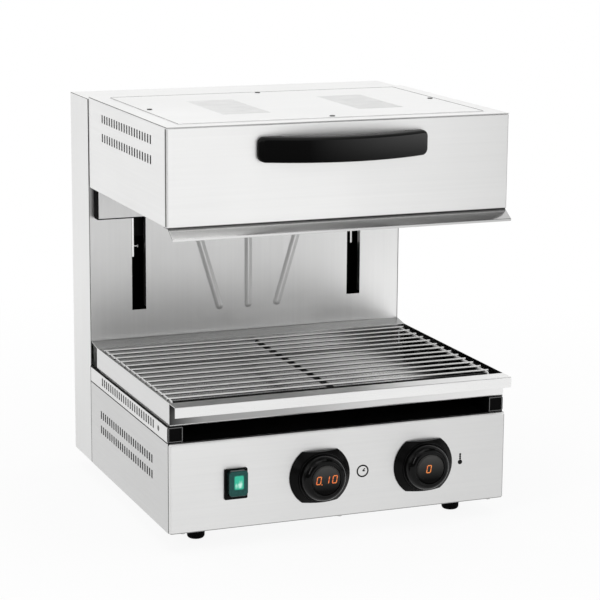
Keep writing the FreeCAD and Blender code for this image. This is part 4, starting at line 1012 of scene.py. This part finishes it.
class MelterKnobPieces(bpy.types.Operator):
    """Turn the knobs' rings and displays, and dress their discs."""
    bl_idname = "melter.knobs"
    bl_label = "Knobs"

    def execute(self, context):
        steps = context.scene.melter_knobs.turns
        for name in ("timer", "thermostat"):
            dress(name + "_disc", "knob_satin", "black_gloss", 0.0004)
            centre = middle(name + "_ring")
            disc_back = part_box(name + "_disc")[1].y
            shape = turned(section(RING_SECTION, disc_back), centre, steps)
            ring = new_piece(name + "_ring_turned", shape, "knob_gloss", name + "_ring",
                             "black_gloss", 50.0)
            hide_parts(name + "_ring")
            spindle_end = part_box(name + "_display")[1].y
            outline = [(0.0, spindle_end), (0.0055, spindle_end)]
            outline += section(DISPLAY_SECTION, disc_back)
            outline.append((0.0, outline[-1][1]))
            face = new_piece(name + "_display_turned", turned(outline, centre, steps),
                             "smoked_face_painted_sheen", "base", "display_glass", 50.0)
            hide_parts(name + "_display")
        return {"FINISHED"}


# Bars of the figures, and each bar's place and way
FIGURE_BARS = {
    "0": ("top", "bottom", "left_low", "left_high", "right_low", "right_high"),
    "1": ("right_low", "right_high"),
}
BAR_PLACES = {
    "top": (0.0, 1.0, "lying"), "bottom": (0.0, -1.0, "lying"),
    "left_low": (-1.0, -0.5, "standing"), "left_high": (-1.0, 0.5, "standing"),
    "right_low": (1.0, -0.5, "standing"), "right_high": (1.0, 0.5, "standing"),
}


def add_figure(shape, character, x, z, front, sizes):
    """Bars of one seven-bar figure on a plane, leaning a little to the right."""
    half_width = (sizes.figure_width - sizes.figure_stroke) / 2
    half_height = (sizes.figure_height - sizes.figure_stroke) / 2
    for bar in FIGURE_BARS[character]:
        across, up, way = BAR_PLACES[bar]
        reach = half_width * 1.75 if way == "lying" else half_height * 0.86
        corner = Vector((reach, 0.0002, sizes.figure_stroke)) / 2
        made = block(shape, -corner, corner)
        if way == "standing":
            bmesh.ops.rotate(shape, verts=made, matrix=Matrix.Rotation(math.pi / 2, 3, "Y"))
        bmesh.ops.translate(shape, verts=made, vec=(across * half_width, 0.0, up * half_height))
        for vert in made:
            vert.co.x += 0.16 * vert.co.z
        bmesh.ops.translate(shape, verts=made, vec=(x, front, z))


def add_dot(shape, x, z, front, radius, steps=16):
    """Small raised dot on a plane."""
    turn = Matrix.Rotation(math.pi / 2, 4, "X")
    made = bmesh.ops.create_cone(shape, cap_ends=True, segments=steps, radius1=radius,
                                 radius2=radius, depth=0.0002, matrix=turn)["verts"]
    bmesh.ops.translate(shape, verts=made, vec=(x, front, z))


class MelterFigures(bpy.types.Operator):
    """Make the lit figures of the displays."""
    bl_idname = "melter.figures"
    bl_label = "Display figures"

    def execute(self, context):
        sizes = context.scene.melter_knobs
        for node, figures, dots in (
                ("timer_display", (("0", -0.0111), ("1", 0.0001), ("0", 0.0111)),
                 ((-0.0070, -0.0047),)),
                ("thermostat_display", (("0", -0.0028),), ())):
            centre = middle(node)
            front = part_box(node)[0].y - 0.00008
            shape = bmesh.new()
            for character, x in figures:
                add_figure(shape, character, centre.x + x, centre.z + 0.0010, front, sizes)
            for x, z in dots:
                add_dot(shape, centre.x + x, centre.z + z, front, 0.0007)
            new_piece(node + "_figures", shape, "lit_figures", body_carrying(node))
        return {"FINISHED"}


class MelterSigns(bpy.types.Operator):
    """Print the clock and the thermometer on the front panel."""
    bl_idname = "melter.signs"
    bl_label = "Printed signs"

    def execute(self, context):
        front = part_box("base_front_panel")[0].y - PRINT_HALF
        centre = middle("timer_display")
        clock = Vector((0.0297, front, centre.z))
        shape = turned([(0.0086, front - PRINT_HALF), (0.0086, front + PRINT_HALF),
                        (0.0066, front + PRINT_HALF), (0.0066, front - PRINT_HALF)], clock, 64)
        for length, lean in ((0.0048, 45.0), (0.0036, 92.0)):
            hand = block(shape, (-0.0007, -PRINT_HALF, 0.0), (0.0007, PRINT_HALF, length))
            bmesh.ops.rotate(shape, verts=hand,
                             matrix=Matrix.Rotation(math.radians(lean), 3, "Y"))
            bmesh.ops.translate(shape, verts=hand, vec=clock)
        new_piece("clock_sign", shape, "printed_ink", "base")
        shape = bmesh.new()
        x, low = 0.1719, centre.z - 0.0020
        add_dot(shape, x, low, front, 0.0032, 24)
        for i in range(3):
            add_dot(shape, x, low + 0.0050 + 0.0029 * i, front, 0.0015)
        stem = bmesh.ops.create_cone(shape, cap_ends=True, segments=4, radius1=0.0016,
                                     radius2=0.0005, depth=0.0026)["verts"]
        bmesh.ops.scale(shape, verts=stem, vec=(1.0, 0.05, 1.0))
        bmesh.ops.translate(shape, verts=stem, vec=(x, front, low + 0.0026))
        new_piece("thermometer_sign", shape, "printed_ink", "base")
        return {"FINISHED"}


# Stage

def seen_level(tree, seen, unseen):
    """One level where the camera, metal or glass sees a thing, and another for its light."""
    path = tree.nodes.new("ShaderNodeLightPath")
    seen_by = path.outputs["Is Camera Ray"]
    for ray in ("Is Glossy Ray", "Is Transmission Ray"):
        either = tree.nodes.new("ShaderNodeMath")
        either.operation = "MAXIMUM"
        tree.links.new(seen_by, either.inputs[0])
        tree.links.new(path.outputs[ray], either.inputs[1])
        seen_by = either.outputs["Value"]
    level = tree.nodes.new("ShaderNodeMapRange")
    level.inputs["To Min"].default_value = unseen
    level.inputs["To Max"].default_value = seen
    tree.links.new(seen_by, level.inputs["Value"])
    return level.outputs["Result"]


def make_world(level):
    """White surroundings with a plain level of light."""
    world = bpy.data.worlds.new("studio")
    bpy.context.scene.world = world
    world.use_nodes = True
    background = world.node_tree.nodes["Background"]
    background.inputs["Color"].default_value = (1.0, 1.0, 1.0, 1.0)
    strength = seen_level(world.node_tree, 1.0, level)
    world.node_tree.links.new(strength, background.inputs["Strength"])


def stage_object(name, shape):
    """Object of the stage made from a bmesh."""
    mesh = bpy.data.meshes.new(name)
    shape.to_mesh(mesh)
    shape.free()
    made = bpy.data.objects.new(name, mesh)
    bpy.context.scene.collection.objects.link(made)
    return made


def make_floor(colour):
    """Large pale floor that keeps the object's shadow."""
    shape = bmesh.new()
    bmesh.ops.create_grid(shape, x_segments=1, y_segments=1, size=20.0)
    floor = stage_object("floor", shape)
    made = Finish("floor_white").plain(Roughness=0.9, Specular_IOR_Level=0.0)
    made.tinted(made.speckle(3.0), colour, scaled(colour, 1.01))
    glow = made.add("ShaderNodeEmission")
    glow.inputs["Color"].default_value = (1.0, 1.0, 1.0, 1.0)
    blend = made.add("ShaderNodeMixShader")
    spread = made.add("ShaderNodeMapping")
    spread.inputs["Scale"].default_value = (0.7, 0.7, 0.7)
    made.join(made.place, spread.inputs["Vector"])
    pool = made.add("ShaderNodeTexGradient", gradient_type="SPHERICAL")
    made.join(spread.outputs["Vector"], pool.inputs["Vector"])
    near = made.ranged(pool.outputs["Fac"], 1.0, 0.90, 0.05, 0.75)
    made.join(made.product(near, seen_level(made.tree, 1.0, 0.0)), blend.inputs["Fac"])
    made.join(made.shader.outputs["BSDF"], blend.inputs[1])
    made.join(glow.outputs["Emission"], blend.inputs[2])
    made.join(blend.outputs["Shader"], made.end.inputs["Surface"])
    floor.data.materials.append(made.material)


def make_dark_card(name, start, sweep, radius, height, tone):
    """Curved dark card that only reflections show, so that bends and black parts get contrast.

    It starts at an angle from the front, positive to the right, and sweeps on to the left.
    """
    shape = bmesh.new()
    angle = math.radians(start)
    foot = Vector((math.sin(angle) * radius, -math.cos(angle) * radius, 0.0))
    edge = shape.edges.new([shape.verts.new(foot), shape.verts.new(foot + Vector((0, 0, height)))])
    bmesh.ops.spin(shape, geom=edge.verts[:] + [edge], cent=(0.0, 0.0, 0.0), axis=(0.0, 0.0, -1.0),
                   angle=math.radians(sweep), steps=24)
    card_object(name, shape, tone)


def make_ceiling(place, radius, tone):
    """Dark round card overhead that only reflections show."""
    shape = bmesh.new()
    bmesh.ops.create_circle(shape, cap_ends=True, segments=48, radius=radius,
                            matrix=Matrix.Translation(place))
    card_object("ceiling_card", shape, tone)


def card_object(name, shape, tone):
    """Cloth-covered card of the stage, seen in reflections alone."""
    card = stage_object(name, shape)
    made = Finish(name + "_cloth").plain(Roughness=0.9, Specular_IOR_Level=0.0)
    made.tinted(made.speckle(6.0), grey(tone), grey(tone * 1.3))
    card.data.materials.append(made.material)
    card.visible_camera = False
    card.visible_diffuse = False
    card.visible_shadow = False


def area_light(name, place, aim, width, height, power):
    """Soft rectangular light that points at a place."""
    lamp = bpy.data.lights.new(name, "AREA")
    lamp.shape = "RECTANGLE"
    lamp.size = width
    lamp.size_y = height
    lamp.energy = power
    light = bpy.data.objects.new(name, lamp)
    light.location = place
    light.rotation_euler = (Vector(aim) - Vector(place)).to_track_quat("-Z", "Y").to_euler()
    bpy.context.scene.collection.objects.link(light)


def make_camera(lens):
    """Camera at the photograph's viewpoint."""
    yaw, pitch, roll = 0.377026771, 0.20922353, 0.00714515
    ahead = Vector((math.sin(yaw) * math.cos(pitch), math.cos(yaw) * math.cos(pitch),
                    -math.sin(pitch)))
    right = Vector((math.cos(yaw), -math.sin(yaw), 0.0))
    up = right.cross(ahead)
    rolled_right = right * math.cos(roll) + up * math.sin(roll)
    rolled_up = up * math.cos(roll) - right * math.sin(roll)
    turn = Matrix((rolled_right, rolled_up, -ahead)).transposed()
    data = bpy.data.cameras.new("camera")
    data.sensor_width = 36.0
    data.lens = lens
    camera = bpy.data.objects.new("camera", data)
    camera.location = (-1.05911, -2.73757, 0.89602)
    camera.rotation_euler = turn.to_euler()
    bpy.context.scene.collection.objects.link(camera)
    bpy.context.scene.camera = camera


class MelterStageMaker(bpy.types.Operator):
    """Make the floor, the light and the camera."""
    bl_idname = "melter.stage"
    bl_label = "Stage"

    def execute(self, context):
        stage = context.scene.melter_stage
        context.scene.view_settings.view_transform = "Standard"
        make_world(stage.room_level)
        make_floor(tuple(stage.floor))
        make_dark_card("left_card", -8.0, 108.0, 4.2, 3.6, 0.012)
        make_ceiling((1.5, -1.2, 3.0), 1.5, 0.004)
        make_dark_card("right_card", 78.0, 30.0, 4.2, 3.6, 0.16)
        middle_height = (0.0, 0.0, 0.3)
        area_light("key", (-2.2, -1.5, 1.5), middle_height, 0.5, 1.5, stage.key_power)
        area_light("overhead", (0.0, -0.2, 2.4), middle_height, 1.8, 1.8, stage.top_power)
        area_light("fill", (2.2, -1.9, 1.0), middle_height, 0.8, 1.4, stage.fill_power)
        make_camera(stage.lens)
        return {"FINISHED"}


OPERATORS = (MelterFinishes, MelterSheets, MelterInside, MelterHeating, MelterGrid,
             MelterBlackParts, MelterJointShade, MelterScrews, MelterSwitch, MelterKnobPieces,
             MelterFigures, MelterSigns, MelterStageMaker)
GROUPS = (("melter_finish", MelterFinish), ("melter_handle", MelterHandle),
          ("melter_knobs", MelterKnobs), ("melter_stage", MelterStage))


class MelterPanel(bpy.types.Panel):
    """Sizes, colours and the steps that make the melter."""
    bl_label = "Cheese melter"
    bl_idname = "VIEW3D_PT_melter"
    bl_space_type = "VIEW_3D"
    bl_region_type = "UI"
    bl_category = "Melter"

    def draw(self, context):
        for name, group in GROUPS:
            box = self.layout.box()
            for key in group.__annotations__:
                box.prop(getattr(context.scene, name), key)
        for operator in OPERATORS:
            self.layout.operator(operator.bl_idname)


def register():
    """Add the classes and the scene's properties."""
    for name, group in GROUPS:
        bpy.utils.register_class(group)
        setattr(bpy.types.Scene, name, bpy.props.PointerProperty(type=group))
    for kind in OPERATORS + (MelterPanel,):
        bpy.utils.register_class(kind)


def unregister():
    """Take the classes and the properties away again."""
    for kind in reversed(OPERATORS + (MelterPanel,)):
        bpy.utils.unregister_class(kind)
    for name, group in reversed(GROUPS):
        delattr(bpy.types.Scene, name)
        bpy.utils.unregister_class(group)


def main():
    """Build the whole scene."""
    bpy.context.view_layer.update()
    register()
    for operator in OPERATORS:
        getattr(bpy.ops.melter, operator.bl_idname.split(".")[1])()


if __name__ == "__main__":
    main()
